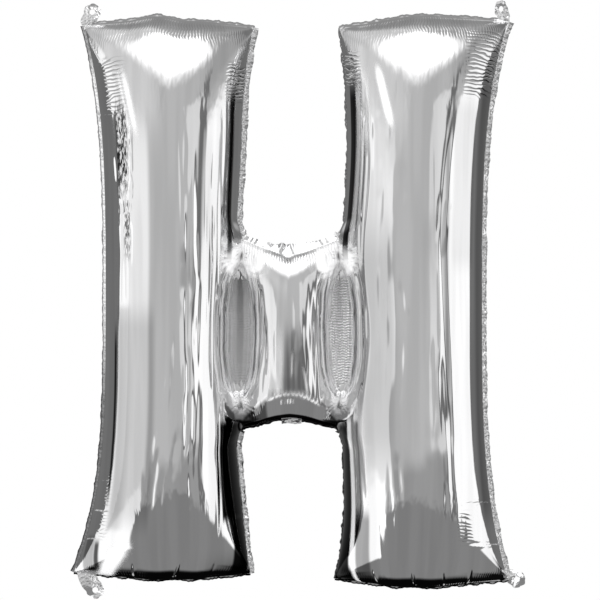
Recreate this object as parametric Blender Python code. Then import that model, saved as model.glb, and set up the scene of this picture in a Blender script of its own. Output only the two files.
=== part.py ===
"""Letter foil balloon: an inflated capital H of mirror film.

Two sheets of film face each other across the plane y = 0 and meet in a seam margin all round.
Each sheet is made of two uprights and the crossbar between them. Two lens-shaped welds pin the
sheets together where the crossbar meets an upright, four punched tabs stand at the outer corners
and the filling valve's tail hangs from the crossbar's lower seam. Metres, +Z up, front at -Y,
origin at the middle of the letter.
"""

import math

import bmesh
import bpy
import numpy as np

# Film and seam
FILM = 0.002
SEAM_THICKNESS = 0.001
SEAM_WIDTH = 0.0065
GAP = 0.0003
RIM_LEVEL = SEAM_THICKNESS / 2 + GAP

# Uprights: the seam line in the plane of the letter
TOP_MIDDLE = 0.400
TOP_CORNER = 0.385
BOTTOM_MIDDLE = -0.400
BOTTOM_CORNER = -0.373
OUTER_WAIST = 0.264
OUTER_TOP_FLARE = 0.034
OUTER_BOTTOM_FLARE = 0.042
OUTER_POWER = 3.5
INNER_WAIST = 0.0745
INNER_TOP_FLARE = 0.0175
INNER_BOTTOM_FLARE = 0.0165
INNER_POWER = 5.0

# Uprights: how far one sheet bulges out
UPRIGHT_DEPTH = 0.0965
END_ROUNDING = 0.200
END_POWER = 2.2
END_SQUARENESS = 1.8
END_SQUARE_REACH = 0.035

# Crossbar
BAR_TOP_MIDDLE = 0.0770
BAR_TOP_CROTCH = 0.0950
BAR_BOTTOM_MIDDLE = -0.1555
BAR_BOTTOM_CROTCH = -0.1880
BAR_DEPTH = 0.0543
BAR_POWER = 2.8
JOIN_X = 0.0704
CROTCH_BLEND = 0.030
PASSAGE_DEPTH = 0.014

# Lens welds
LENS_Z = -0.0395
LENS_HALF_HEIGHT = 0.0955
LENS_HALF_WIDTH = 0.0125

# Hanging tabs: middle of the punched hole, half-width and hole size
TAB_HALF_WIDTH = 0.0135
TAB_HOLE_RADIUS = 0.004
TAB_HOLES = {
    "top_left": (-0.2846, 0.4075),
    "top_right": (0.2925, 0.4085),
    "bottom_left": (-0.2815, -0.4035),
    "bottom_right": (0.3110, -0.3925),
}

# Valve tail
VALVE_X = -0.004
VALVE_HALF_WIDTH = 0.014
VALVE_LENGTH = 0.013

# Mesh fineness
ACROSS = 14
BAR_ACROSS = 12
END_ROWS = 9
SEAM_POINTS = 24
NOTCH_POINTS = 7

SILVER = (0.78, 0.78, 0.79)
WELD_SILVER = (0.86, 0.86, 0.87)


def outer_edge(z):
    """The outer side seam's x at height z: a waist that flares towards both ends."""
    z = np.asarray(z, float)
    top = OUTER_TOP_FLARE * np.clip(z / TOP_CORNER, 0, None) ** OUTER_POWER
    bottom = OUTER_BOTTOM_FLARE * np.clip(z / BOTTOM_CORNER, 0, None) ** OUTER_POWER
    return OUTER_WAIST + top + bottom


def lens_half_width(z):
    """Half the width of a lens weld at height z, 0 above and below it."""
    reach = (np.asarray(z, float) - LENS_Z) / LENS_HALF_HEIGHT
    return LENS_HALF_WIDTH * np.clip(1 - reach**2, 0, None)


def inner_edge(z):
    """The upright's inner edge: its own seam, or the line where it joins the crossbar."""
    z = np.asarray(z, float)
    top = INNER_TOP_FLARE * np.clip(z / TOP_CORNER, 0, None) ** INNER_POWER
    bottom = INNER_BOTTOM_FLARE * np.clip(z / BOTTOM_CORNER, 0, None) ** INNER_POWER
    beyond = np.maximum(z - BAR_TOP_CROTCH, BAR_BOTTOM_CROTCH - z)
    blend = np.clip(beyond / CROTCH_BLEND, 0, 1)
    free = INNER_WAIST - top - bottom
    joined = JOIN_X + lens_half_width(z)
    return joined + (free - joined) * blend**2 * (3 - 2 * blend)


def passage_depth(z):
    """How far the film stands off the middle plane where gas passes a lens weld's ends."""
    z = np.asarray(z, float)
    lens_top = LENS_Z + LENS_HALF_HEIGHT
    lens_bottom = LENS_Z - LENS_HALF_HEIGHT
    upper = (z - lens_top) / (BAR_TOP_CROTCH - lens_top)
    lower = (lens_bottom - z) / (lens_bottom - BAR_BOTTOM_CROTCH)
    way = np.clip(np.maximum(upper, lower), 0, 1)
    return PASSAGE_DEPTH * np.sin(math.pi * way)


def end_seams(s):
    """Heights of the bottom and top end seams at fraction s of the upright's width."""
    sag = (2 * np.asarray(s, float) - 1) ** 2
    bottom = BOTTOM_MIDDLE + (BOTTOM_CORNER - BOTTOM_MIDDLE) * sag
    top = TOP_MIDDLE + (TOP_CORNER - TOP_MIDDLE) * sag
    return bottom, top


def bar_seams(x):
    """Heights of the crossbar's lower and upper seams at x."""
    rise = (np.asarray(x, float) / JOIN_X) ** 2
    bottom = BAR_BOTTOM_MIDDLE + (BAR_BOTTOM_CROTCH - BAR_BOTTOM_MIDDLE) * rise
    top = BAR_TOP_MIDDLE + (BAR_TOP_CROTCH - BAR_TOP_MIDDLE) * rise
    return bottom, top


def upright_rows():
    """Fractions of an upright's height, closer at its ends and on the crossbar's corners."""
    lens_top = LENS_Z + LENS_HALF_HEIGHT
    lens_bottom = LENS_Z - LENS_HALF_HEIGHT
    ease = 1 - np.cos(np.linspace(0, math.pi / 2, END_ROWS + 1))
    lower = BOTTOM_CORNER + (BAR_BOTTOM_CROTCH - BOTTOM_CORNER) * ease
    upper = TOP_CORNER + (BAR_TOP_CROTCH - TOP_CORNER) * ease
    heights = np.concatenate([
        lower[:-1],
        np.linspace(BAR_BOTTOM_CROTCH, lens_bottom, 4, endpoint=False),
        np.linspace(lens_bottom, lens_top, 7, endpoint=False),
        np.linspace(lens_top, BAR_TOP_CROTCH, 4, endpoint=False),
        upper[::-1],
    ])
    return (heights - BOTTOM_CORNER) / (TOP_CORNER - BOTTOM_CORNER)


def bar_rows():
    """Fractions of the crossbar's height, closer at its seams, with rows on the lens tips."""
    height = BAR_TOP_CROTCH - BAR_BOTTOM_CROTCH
    first = (LENS_Z - LENS_HALF_HEIGHT - BAR_BOTTOM_CROTCH) / height
    last = (LENS_Z + LENS_HALF_HEIGHT - BAR_BOTTOM_CROTCH) / height
    ease = 1 - np.cos(np.linspace(0, math.pi / 2, 5))
    return np.concatenate([
        first * ease[:-1],
        np.linspace(first, last, 7, endpoint=False),
        1 - (1 - last) * ease[::-1],
    ])


def upright_surface(inset):
    """One sheet's right upright, or the same surface moved inwards by the film's thickness.

    Each row is a superellipse from the inner edge over the crest to the outer edge. Rows flatten
    towards the end seams, where the sheet comes down to the rim level like a pillow's end.
    """
    s = (1 - np.cos(np.linspace(0, math.pi, ACROSS + 1))) / 2
    s = s[None, :]
    f = upright_rows()[:, None]
    bottom, top = end_seams(s)
    bottom = bottom + inset
    top = top - inset
    z = bottom + (top - bottom) * f
    z_side = BOTTOM_CORNER + (TOP_CORNER - BOTTOM_CORNER) * f
    inner = inner_edge(z_side) + inset + GAP / 2
    outer = outer_edge(z_side) - inset
    x = inner + (outer - inner) * s
    reach = np.minimum(z - bottom, top - z)
    near = np.clip(1 - reach / END_ROUNDING, 0, 1)
    crest = (UPRIGHT_DEPTH - inset) * (1 - near**END_POWER) ** (1 / END_POWER)
    power = 2 + END_SQUARENESS * np.exp(-reach / END_SQUARE_REACH)
    arch = np.clip(1 - np.abs(2 * s - 1) ** power, 0, None) ** (1 / power)
    lift = np.where(s < 0.5, passage_depth(z_side), 0)
    lift = np.minimum(lift, crest)
    depth = lift + (crest - lift) * arch
    return x, depth, z


def bar_surface(inset):
    """One sheet's crossbar, arched over its height and sagging to the welds at both sides."""
    u = np.sin(np.linspace(-math.pi / 2, math.pi / 2, BAR_ACROSS + 1))[None, :]
    f = bar_rows()[:, None]
    z_side = BAR_BOTTOM_CROTCH + (BAR_TOP_CROTCH - BAR_BOTTOM_CROTCH) * f
    half = JOIN_X - lens_half_width(z_side) - inset - GAP / 2
    x = u * half
    bottom, top = bar_seams(x)
    bottom = bottom + inset
    top = top - inset
    z = bottom + (top - bottom) * f
    crest = (BAR_DEPTH - inset) * np.clip(1 - np.abs(2 * f - 1) ** BAR_POWER, 0, None) ** (1 / BAR_POWER)
    lift = np.minimum(passage_depth(z_side), crest)
    depth = lift + (crest - lift) * np.sqrt(1 - u**2)
    return x, depth, z


def part_collection(name):
    """A collection linked to the scene."""
    group = bpy.data.collections.new(name)
    bpy.context.scene.collection.children.link(group)
    return group


def add_finish(item, colour, roughness, metallic):
    """The object's own Principled material."""
    finish = bpy.data.materials.new(item.name + "_finish")
    finish.use_nodes = True
    shader = finish.node_tree.nodes["Principled BSDF"]
    shader.inputs["Base Color"].default_value = (*colour, 1)
    shader.inputs["Roughness"].default_value = roughness
    shader.inputs["Metallic"].default_value = metallic
    finish.diffuse_color = (*colour, 1)
    item.data.materials.append(finish)


def lofted_shell(name, outside, inside, facing, mirrored, group):
    """A closed film shell lofted between two grids of sections, joined round their rims.

    facing is -1 for the front sheet and 1 for the back one; mirrored puts it on the left.
    """
    rows, columns = outside[0].shape
    hand = -1 if mirrored else 1
    order = -1 if facing * hand > 0 else 1
    mesh = bmesh.new()
    grids = []
    for x, depth, z in (outside, inside):
        y = facing * (RIM_LEVEL + depth)
        x, y, z = np.broadcast_arrays(x * hand, y, z)
        points = np.stack([x, y, z], axis=-1)
        grids.append([[mesh.verts.new(point) for point in row] for row in points.tolist()])
    for grid, turn in zip(grids, (order, -order)):
        for i in range(rows - 1):
            for j in range(columns - 1):
                corners = grid[i][j], grid[i][j + 1], grid[i + 1][j + 1], grid[i + 1][j]
                mesh.faces.new(corners[::turn])
    rim = [(0, j) for j in range(columns)]
    rim += [(i, columns - 1) for i in range(1, rows)]
    rim += [(rows - 1, j) for j in range(columns - 2, -1, -1)]
    rim += [(i, 0) for i in range(rows - 2, 0, -1)]
    outer, inner = grids
    for (i, j), (k, m) in zip(rim, rim[1:] + rim[:1]):
        corners = outer[i][j], inner[i][j], inner[k][m], outer[k][m]
        mesh.faces.new(corners[::order])
    data = bpy.data.meshes.new(name)
    mesh.to_mesh(data)
    mesh.free()
    data.shade_smooth()
    data.set_sharp_from_angle(angle=math.radians(50))
    item = bpy.data.objects.new(name, data)
    group.objects.link(item)
    add_finish(item, SILVER, 0.12, 1.0)
    return item


def flat_plate(name, outlines, thickness, group):
    """A flat plate upright in the middle plane, from outlines of (x, z) points."""
    curve = bpy.data.curves.new(name, "CURVE")
    curve.dimensions = "2D"
    curve.fill_mode = "BOTH"
    curve.extrude = thickness / 2
    for outline in outlines:
        spline = curve.splines.new("POLY")
        spline.points.add(len(outline) - 1)
        for point, (x, z) in zip(spline.points, outline):
            point.co = (x, z, 0, 1)
        spline.use_cyclic_u = True
    item = bpy.data.objects.new(name, curve)
    item.rotation_euler = (math.pi / 2, 0, 0)
    group.objects.link(item)
    add_finish(item, WELD_SILVER, 0.35, 0.9)
    return item


def right_edges():
    """The right half's seam edges, in order from the crossbar's upper seam down to its lower one."""
    s = np.linspace(0, 1, SEAM_POINTS)
    free = np.linspace(0, 1, SEAM_POINTS)
    bottom, top = end_seams(s)
    upper = BAR_TOP_CROTCH + (TOP_CORNER - BAR_TOP_CROTCH) * free
    side = TOP_CORNER + (BOTTOM_CORNER - TOP_CORNER) * np.linspace(0, 1, 2 * SEAM_POINTS)
    lower = BOTTOM_CORNER + (BAR_BOTTOM_CROTCH - BOTTOM_CORNER) * free
    top_x = inner_edge(TOP_CORNER) + (outer_edge(TOP_CORNER) - inner_edge(TOP_CORNER)) * s
    bottom_in = inner_edge(BOTTOM_CORNER)
    bottom_x = bottom_in + (outer_edge(BOTTOM_CORNER) - bottom_in) * s
    return {
        "inner_upper": np.stack([inner_edge(upper), upper], axis=1),
        "top": np.stack([top_x, top], axis=1),
        "outer": np.stack([outer_edge(side), side], axis=1),
        "bottom": np.stack([bottom_x, bottom], axis=1)[::-1],
        "inner_lower": np.stack([inner_edge(lower), lower], axis=1),
    }


def letter_outline():
    """The whole seam line clockwise from the upper left crotch, with each edge's own name."""
    x = np.linspace(-JOIN_X, JOIN_X, SEAM_POINTS)
    bar_bottom, bar_top = bar_seams(x)
    right = right_edges()
    edges = {"crossbar_top": np.stack([x, bar_top], axis=1)}
    for name, points in right.items():
        edges[name + "_right"] = points
    edges["crossbar_bottom"] = np.stack([x, bar_bottom], axis=1)[::-1]
    for name in reversed(list(right)):
        edges[name + "_left"] = right[name][::-1] * (-1, 1)
    return edges


def offset_line(points, distance):
    """A closed line moved outwards by a distance, mitred at its corners."""
    ahead = np.roll(points, -1, axis=0) - points
    ahead /= np.linalg.norm(ahead, axis=1)[:, None]
    behind = np.roll(ahead, 1, axis=0)
    normal = np.stack([-ahead[:, 1], ahead[:, 0]], axis=1)
    normal_behind = np.stack([-behind[:, 1], behind[:, 0]], axis=1)
    middle = normal + normal_behind
    return points + distance * middle * 2 / (middle**2).sum(axis=1)[:, None]


def shorten(line, amount):
    """The line with both of its ends drawn in along its first and last stretch."""
    line = line.copy()
    start = line[1] - line[0]
    end = line[-2] - line[-1]
    line[0] += start * amount / np.linalg.norm(start)
    line[-1] += end * amount / np.linalg.norm(end)
    return line


def seam_lines():
    """Each edge's inner and outer line of the seam margin, by name."""
    edges = letter_outline()
    ring = np.concatenate([points[:-1] for points in edges.values()])
    inside = offset_line(ring, -FILM)
    outside = offset_line(ring, SEAM_WIDTH)
    lines = {}
    first = 0
    for name, points in edges.items():
        picks = (np.arange(len(points)) + first) % len(ring)
        lines[name] = (inside[picks], outside[picks])
        first += len(points) - 1
    return lines


def seam_strip(name, inside, outside, group):
    """A strip of the welded seam margin between its inner and outer line."""
    inside = shorten(inside, GAP)
    outside = shorten(outside, GAP)
    outline = np.concatenate([inside, outside[::-1]])
    flat_plate("seam_" + name, [outline.tolist()], SEAM_THICKNESS, group)


def line_height(line, x):
    """The height of a line that runs from right to left, at x."""
    return np.interp(x, line[::-1, 0], line[::-1, 1])


def add_seams(group):
    """The seam margin's strips, the lower crossbar one notched for the valve's tail."""
    lines = seam_lines()
    inside, outside = lines.pop("crossbar_bottom")
    for name, (near, far) in lines.items():
        seam_strip(name, near, far, group)
    seam = letter_outline()["crossbar_bottom"]
    right = VALVE_X + VALVE_HALF_WIDTH
    left = VALVE_X - VALVE_HALF_WIDTH
    notch_x = np.linspace(right, left, NOTCH_POINTS)
    notch = np.stack([notch_x, line_height(seam, notch_x)], axis=1)
    notched = np.concatenate([
        outside[outside[:, 0] > right + GAP],
        [[right, line_height(outside, right)]],
        notch,
        [[left, line_height(outside, left)]],
        outside[outside[:, 0] < left - GAP],
    ])
    seam_strip("crossbar_bottom", inside, notched, group)
    add_valve(seam, outside, group)


def add_valve(seam, outside, group):
    """The filling valve's flat tail, which hangs from the notch in the crossbar's lower seam."""
    half = VALVE_HALF_WIDTH - GAP
    turn = np.linspace(0, math.pi, 9)
    corner = VALVE_LENGTH / 4
    low = line_height(outside, VALVE_X) - VALVE_LENGTH + SEAM_WIDTH
    x = VALVE_X + np.sign(np.cos(turn)) * (half - corner) + corner * np.cos(turn)
    z = low + corner * (1 - np.sin(turn))
    top_x = np.linspace(VALVE_X - half, VALVE_X + half, NOTCH_POINTS)
    top_z = line_height(seam, top_x) - GAP
    outline = list(zip(x, z)) + list(zip(top_x, top_z))
    flat_plate("valve_tail", [outline], SEAM_THICKNESS, group)


def tab_outline(hole, edge):
    """A round-ended tab that grows out of the seam margin's outer edge towards its hole."""
    middle = np.array(hole)
    nearest = np.argmin(np.linalg.norm(edge - middle, axis=1))
    foot = edge[nearest]
    out = (middle - foot) / np.linalg.norm(middle - foot)
    side = np.array([out[1], -out[0]])
    turn = np.linspace(0, math.pi, 17)
    tip = middle + TAB_HALF_WIDTH * (np.cos(turn)[:, None] * side + np.sin(turn)[:, None] * out)
    left = np.dot(edge - middle, side)
    order = np.argsort(left)
    spots = np.linspace(-TAB_HALF_WIDTH, TAB_HALF_WIDTH, 7)
    heights = np.interp(spots, left[order], np.dot(edge - middle, out)[order]) + GAP
    foot_line = middle + spots[:, None] * side + heights[:, None] * out
    return np.concatenate([tip, foot_line])


def add_tabs(group):
    """The four punched hanging tabs at the letter's outer corners."""
    lines = seam_lines()
    turn = np.linspace(0, 2 * math.pi, 20, endpoint=False)
    ring = TAB_HOLE_RADIUS * np.stack([np.cos(turn), np.sin(turn)], axis=1)
    for corner, hole in TAB_HOLES.items():
        edge = lines[corner][1]
        outline = tab_outline(hole, edge)
        flat_plate("tab_" + corner, [outline.tolist(), (ring + hole).tolist()], SEAM_THICKNESS, group)


def add_lens_welds(group):
    """The lens-shaped welds that hold the sheets together beside the crossbar."""
    z = LENS_Z + LENS_HALF_HEIGHT * np.linspace(-1, 1, 15)
    half = lens_half_width(z) + FILM
    for name, centre in (("left", -JOIN_X), ("right", JOIN_X)):
        right = np.stack([centre + half, z], axis=1)
        left = np.stack([centre - half, z], axis=1)[::-1]
        flat_plate("lens_weld_" + name, [np.concatenate([right, left]).tolist()], SEAM_THICKNESS, group)


def add_films(group):
    """The front and back sheets, each as its two uprights and its crossbar."""
    upright = upright_surface(0), upright_surface(FILM)
    bar = bar_surface(0), bar_surface(FILM)
    for sheet, facing in (("front", -1), ("back", 1)):
        lofted_shell(f"film_{sheet}_upright_left", *upright, facing, True, group)
        lofted_shell(f"film_{sheet}_upright_right", *upright, facing, False, group)
        lofted_shell(f"film_{sheet}_crossbar", *bar, facing, False, group)


def main():
    """Clear the scene and build the balloon."""
    for item in list(bpy.data.objects):
        bpy.data.objects.remove(item, do_unlink=True)
    group = part_collection("letter_foil_balloon")
    add_films(group)
    add_seams(group)
    add_lens_welds(group)
    add_tabs(group)


main()
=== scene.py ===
"""Letter foil balloon, dressed: mirror film blown up from its flat cut, welded margin, tabs and valve.

The two sheets are cut flat, welded round the edge and blown up here by a small film solver. Fine
puckers are then laid along the seams, and every surface gets a procedural foil finish.
Metres, +Z up, the front sheet faces -Y.
"""

import logging
import math
from dataclasses import dataclass, field
from enum import Enum

import bpy
import numpy as np
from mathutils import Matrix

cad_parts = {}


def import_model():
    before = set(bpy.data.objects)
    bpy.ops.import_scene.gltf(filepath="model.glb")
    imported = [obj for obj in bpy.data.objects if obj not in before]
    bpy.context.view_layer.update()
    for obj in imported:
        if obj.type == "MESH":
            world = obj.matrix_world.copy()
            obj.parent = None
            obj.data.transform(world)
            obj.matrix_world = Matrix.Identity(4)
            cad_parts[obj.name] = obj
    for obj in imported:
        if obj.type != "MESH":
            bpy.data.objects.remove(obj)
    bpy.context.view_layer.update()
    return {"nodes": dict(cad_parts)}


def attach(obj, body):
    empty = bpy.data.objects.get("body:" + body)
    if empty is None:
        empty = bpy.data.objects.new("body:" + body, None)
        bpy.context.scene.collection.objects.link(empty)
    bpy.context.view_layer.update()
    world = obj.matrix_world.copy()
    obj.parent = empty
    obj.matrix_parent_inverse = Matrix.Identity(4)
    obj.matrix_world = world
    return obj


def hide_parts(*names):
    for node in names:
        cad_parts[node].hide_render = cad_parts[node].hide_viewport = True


log = logging.getLogger("letter_balloon")
Array = np.ndarray
Factors = tuple[float, float, float]
Span = tuple[float, float]
# Where an eased step starts and how far it runs, as rise() takes them
Step = tuple[float, float]

MM = 0.001
FRAME_PIXELS = 600
METRES_PER_PIXEL = 0.001406
LETTER_MIDDLE_PIXEL = (294.8, 302.0)
SHARP_ANGLE = math.radians(50)


class Sheet(Enum):
    """Which sheet of film: its outward direction along Y."""

    FRONT = -1
    BACK = 1


class Hand(Enum):
    """Which side of the letter: its sign along X."""

    LEFT = -1
    RIGHT = 1


class Seam(Enum):
    """Which side seam of an upright a distance is measured from."""

    OUTER = "outer"
    INNER = "inner"


def smoothstep(value: Array) -> Array:
    """The S-curve 3t^2 - 2t^3 of a value clipped to 0 to 1."""
    t = np.clip(value, 0, 1)
    return t * t * (3 - 2 * t)


def window(value: Array, low: float, high: float, soft: float) -> Array:
    """A soft window: 1 between low and high, 0 outside, eased over soft at both ends.

    Args:
        value: where to read the window.
        low: where it opens.
        high: where it closes.
        soft: length of each eased end, inside the window.

    Returns:
        The window's height at each value.
    """
    return smoothstep((value - low) / soft) * smoothstep((high - value) / soft)


def rise(value: Array, start: float, over: float) -> Array:
    """An eased step: 0 at start and 1 once over has been passed; it falls where over is negative."""
    return smoothstep((value - start) / over)


def bell(value: Array, middle: float, width: float) -> Array:
    """A bell that is 1 at its middle: exp(-((value - middle) / width)^2)."""
    return np.exp(-(((value - middle) / width) ** 2))


@dataclass(frozen=True)
class LetterCut:
    """The flat cut of one sheet, right half, before it is blown up. All lengths in metres."""

    height: float = 0.802
    upright_top: float = 0.268
    upright_waist: float = 0.286
    upright_bottom: float = 0.286
    centre_line: float = 0.2365
    splay_top: float = 0.010
    splay_bottom: float = 0.014
    crown_top: float = 0.040
    crown_bottom: float = 0.042
    bar_height: float = 0.292
    bar_middle: float = -0.044
    bar_arch: float = 0.008
    weld_middle: float = -0.040
    weld_half_height: float = 0.097
    weld_half_width: float = 0.0125

    @property
    def bar_low(self) -> float:
        """Height of the crossbar's lower edge."""
        return self.bar_middle - self.bar_height / 2

    @property
    def bar_high(self) -> float:
        """Height of the crossbar's upper edge."""
        return self.bar_middle + self.bar_height / 2

    def inner_x(self, z: Array) -> tuple[Array, Array]:
        """The upright's inner edge and its width at height z.

        The width is a parabola between waist and ends, and the centre line splays beyond the bar.

        Args:
            z: heights.

        Returns:
            The inner edge's x and the width, at each height.
        """
        ends = np.where(z > 0, self.upright_top, self.upright_bottom)
        width = ends + (self.upright_waist - ends) * (1 - (np.abs(z) / (self.height / 2)) ** 2)
        upper, lower = self.beyond_bar(z)
        centre = self.centre_line + self.splay_top * upper + self.splay_bottom * lower
        return centre - width / 2, width

    def beyond_bar(self, z: Array) -> tuple[Array, Array]:
        """How far z is beyond the bar, as a fraction of the way to the top and to the bottom.

        Args:
            z: heights.

        Returns:
            The share towards the top, and the one towards the bottom.
        """
        upper = np.clip((z - self.bar_high) / (self.height / 2 - self.bar_high), 0, 1)
        lower = np.clip((self.bar_low - z) / (self.height / 2 + self.bar_low), 0, 1)
        return upper, lower


class FlatGrid:
    """The right half of a sheet as a grid of points on the flat cut, with its seams marked."""

    def __init__(self, cut: LetterCut, spacing: float) -> None:
        """Lay the grid.

        Args:
            cut: the sheet's flat cut.
            spacing: distance between neighbouring points.
        """
        self.cut = cut
        self.spacing = spacing
        half_gap = cut.centre_line - cut.upright_waist / 2
        count = [max(2, round(length / spacing)) for length in (
            half_gap, cut.upright_waist, cut.bar_low + cut.height / 2,
            cut.bar_height, cut.height / 2 - cut.bar_high)]
        self.half_bar, self.across, self.low_rows, self.bar_rows, self.high_rows = count
        self.row_heights = np.concatenate([
            np.linspace(-cut.height / 2, cut.bar_low, self.low_rows + 1)[:-1],
            np.linspace(cut.bar_low, cut.bar_high, self.bar_rows + 1)[:-1],
            np.linspace(cut.bar_high, cut.height / 2, self.high_rows + 1)])
        self.column_places = np.concatenate([
            np.linspace(0, 1, self.half_bar + 1)[:-1], np.linspace(1, 2, self.across + 1)])
        self.flat = self.flat_points()
        self.cells = self.film_cells()
        self.mark_edges()

    def flat_points(self) -> Array:
        """Points of the flat cut, (rows, columns, 2).

        Rows crown up at the top end and down at the bottom end, and the crossbar's rows arch
        towards its upper edge. Both are parabolas over the width.

        Returns:
            The points.
        """
        cut = self.cut
        z = self.row_heights[:, None]
        place = self.column_places[None, :]
        inner, width = cut.inner_x(z)
        across = np.clip(place - 1, 0, 1)
        x = np.where(place < 1, place * inner, inner + across * width)
        upper, lower = cut.beyond_bar(z)
        crown = 1 - (2 * across - 1) ** 2
        arch = np.where(place < 1, 1 - place**2, 0)
        in_bar = (z >= cut.bar_low - 1e-9) * np.clip((cut.bar_high - z) / cut.bar_height, 0, 1)
        z = z + crown * (cut.crown_top * upper - cut.crown_bottom * lower) + cut.bar_arch * arch * in_bar
        return np.stack([x, z], axis=-1)

    def film_cells(self) -> Array:
        """Which grid cells hold film: all but the gaps above and below the half crossbar.

        Returns:
            True for each cell that holds film.
        """
        rows, columns = self.flat.shape[:2]
        cells = np.ones((rows - 1, columns - 1), bool)
        cells[:self.low_rows, :self.half_bar] = False
        cells[self.low_rows + self.bar_rows:, :self.half_bar] = False
        return cells

    def mark_edges(self) -> None:
        """Mark the film's points, its seams and the weld that lies on the upright's inner edge."""
        cells = self.cells
        padded = np.zeros((cells.shape[0] + 2, cells.shape[1] + 2), bool)
        padded[1:-1, 1:-1] = cells
        padded[:, 0] = padded[:, 1]
        corners = padded[:-1, :-1], padded[:-1, 1:], padded[1:, :-1], padded[1:, 1:]
        self.film = corners[0] | corners[1] | corners[2] | corners[3]
        self.seam = self.film & ~(corners[0] & corners[1] & corners[2] & corners[3])
        self.across_links = padded[:-1, 1:-1] | padded[1:, 1:-1]
        self.along_links = padded[1:-1, :-1] | padded[1:-1, 1:]
        cut = self.cut
        inner, _ = cut.inner_x(self.row_heights[:, None])
        x, z = self.flat[..., 0], self.flat[..., 1]
        reach = (z - cut.weld_middle) / cut.weld_half_height
        half = cut.weld_half_width * np.clip(1 - reach**2, 0, None)
        self.weld = (np.abs(x - inner) <= half + 1e-9) & (np.abs(reach) < 1)


@dataclass(frozen=True)
class BlowRound:
    """One round of blowing up: the grid's spacing, how often it steps, and the gas's push.

    Sweeps is how often the links are pulled in each step, pressure is in steps' own units, and
    keep is the share of its speed that a point keeps from step to step.
    """

    spacing: float
    steps: int
    sweeps: int
    pressure: float
    keep: float


BLOW_ROUNDS = (
    BlowRound(16 * MM, 700, 5, 0.0006, 0.97),
    BlowRound(8 * MM, 350, 5, 0.0003, 0.97),
    BlowRound(4 * MM, 150, 6, 0.00012, 0.96),
)


class Inflation:
    """Blows a sheet up: film that can't stretch but gives way to any squeeze, under pressure.

    Each link between neighbouring points is pulled back to its flat length where it is longer,
    and left alone where it is shorter, so that the sheet takes the mean shape of puckered film.
    """

    def __init__(self, grid: FlatGrid) -> None:
        """Start from the flat sheet, lifted a little off the seams' plane.

        Args:
            grid: the flat sheet.
        """
        self.grid = grid
        flat = grid.flat
        lift = np.where(grid.film, -20 * MM, 0)
        self.points = np.stack([flat[..., 0], lift, flat[..., 1]], axis=-1)
        self.speed = np.zeros_like(self.points)
        self.links = []
        for mask, step in ((grid.across_links, (0, 1)), (grid.along_links, (1, 0)),
                           (grid.cells, (1, 1)), (grid.cells, (1, -1))):
            self.add_links(mask, step)
        self.hold_seams()

    def add_links(self, mask: Array, step: tuple[int, int]) -> None:
        """Add one direction of links, as two sets that share no point.

        Args:
            mask: which links exist.
            step: rows and columns from a link's first point to its second.
        """
        flat = self.grid.flat
        rows, columns = flat.shape[:2]
        down, right = step
        first = [slice(0, rows - down), slice(max(0, -right), columns - max(0, right))]
        second = [slice(down, rows), slice(max(0, right), columns + min(0, right))]
        axis = 1 if down == 0 else 0
        for parity in (0, 1):
            ends = []
            for end in (first, second):
                picked = list(end)
                picked[axis] = slice(end[axis].start + parity, end[axis].stop, 2)
                ends.append(tuple(picked))
            a, b = flat[ends[0]], flat[ends[1]]
            length = np.linalg.norm(b - a, axis=-1)
            kept = mask[parity::2] if axis == 0 else mask[:, parity::2]
            self.links.append((ends[0], ends[1], length, kept))

    def hold_seams(self) -> None:
        """Keep seams and welds in the middle plane and the crossbar's middle on x = 0."""
        held = self.grid.seam | self.grid.weld
        self.points[..., 1] = np.where(held, 0, self.points[..., 1])
        self.points[:, 0, 0] = 0

    def pull_links(self) -> None:
        """Move the two ends of every overlong link together by half of its excess each."""
        for first, second, length, kept in self.links:
            a, b = self.points[first], self.points[second]
            span = b - a
            now = np.sqrt((span * span).sum(-1)) + 1e-12
            share = np.where(kept & (now > length), 0.5 * (now - length) / now, 0)
            shift = share[..., None] * span
            a += shift
            b -= shift
        self.hold_seams()

    def push(self) -> Array:
        """The pressure's push on each point: a quarter of the area vector of each cell round it.

        Returns:
            The push, (rows, columns, 3).
        """
        p = self.points
        area = 0.5 * np.cross(p[1:, 1:] - p[:-1, :-1], p[1:, :-1] - p[:-1, 1:])
        area *= self.grid.cells[..., None]
        total = np.zeros_like(p)
        total[:-1, :-1] += area
        total[1:, 1:] += area
        total[1:, :-1] += area
        total[:-1, 1:] += area
        return -total / 4 * np.sign(total[..., 1].sum())

    def run(self, blow: BlowRound) -> None:
        """Step the film forward through one round.

        Args:
            blow: the round.
        """
        scale = blow.pressure / self.grid.spacing**2
        for _ in range(blow.steps):
            self.speed = self.speed * blow.keep + self.push() * scale * self.grid.film[..., None]
            before = self.points.copy()
            self.points = self.points + self.speed
            self.hold_seams()
            for _ in range(blow.sweeps):
                self.pull_links()
            self.speed = self.points - before

    def refined(self, spacing: float) -> "Inflation":
        """The same film on a finer grid, its points read off this one between four neighbours.

        Args:
            spacing: the finer grid's spacing.

        Returns:
            The film on it, at rest.
        """
        grid = FlatGrid(self.grid.cut, spacing)
        finer = Inflation(grid)
        rows = np.interp(grid.row_heights, self.grid.row_heights, np.arange(len(self.grid.row_heights)))
        columns = np.interp(grid.column_places, self.grid.column_places,
                            np.arange(len(self.grid.column_places)))
        finer.points = bilinear(self.points, rows, columns)
        finer.hold_seams()
        return finer


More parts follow.
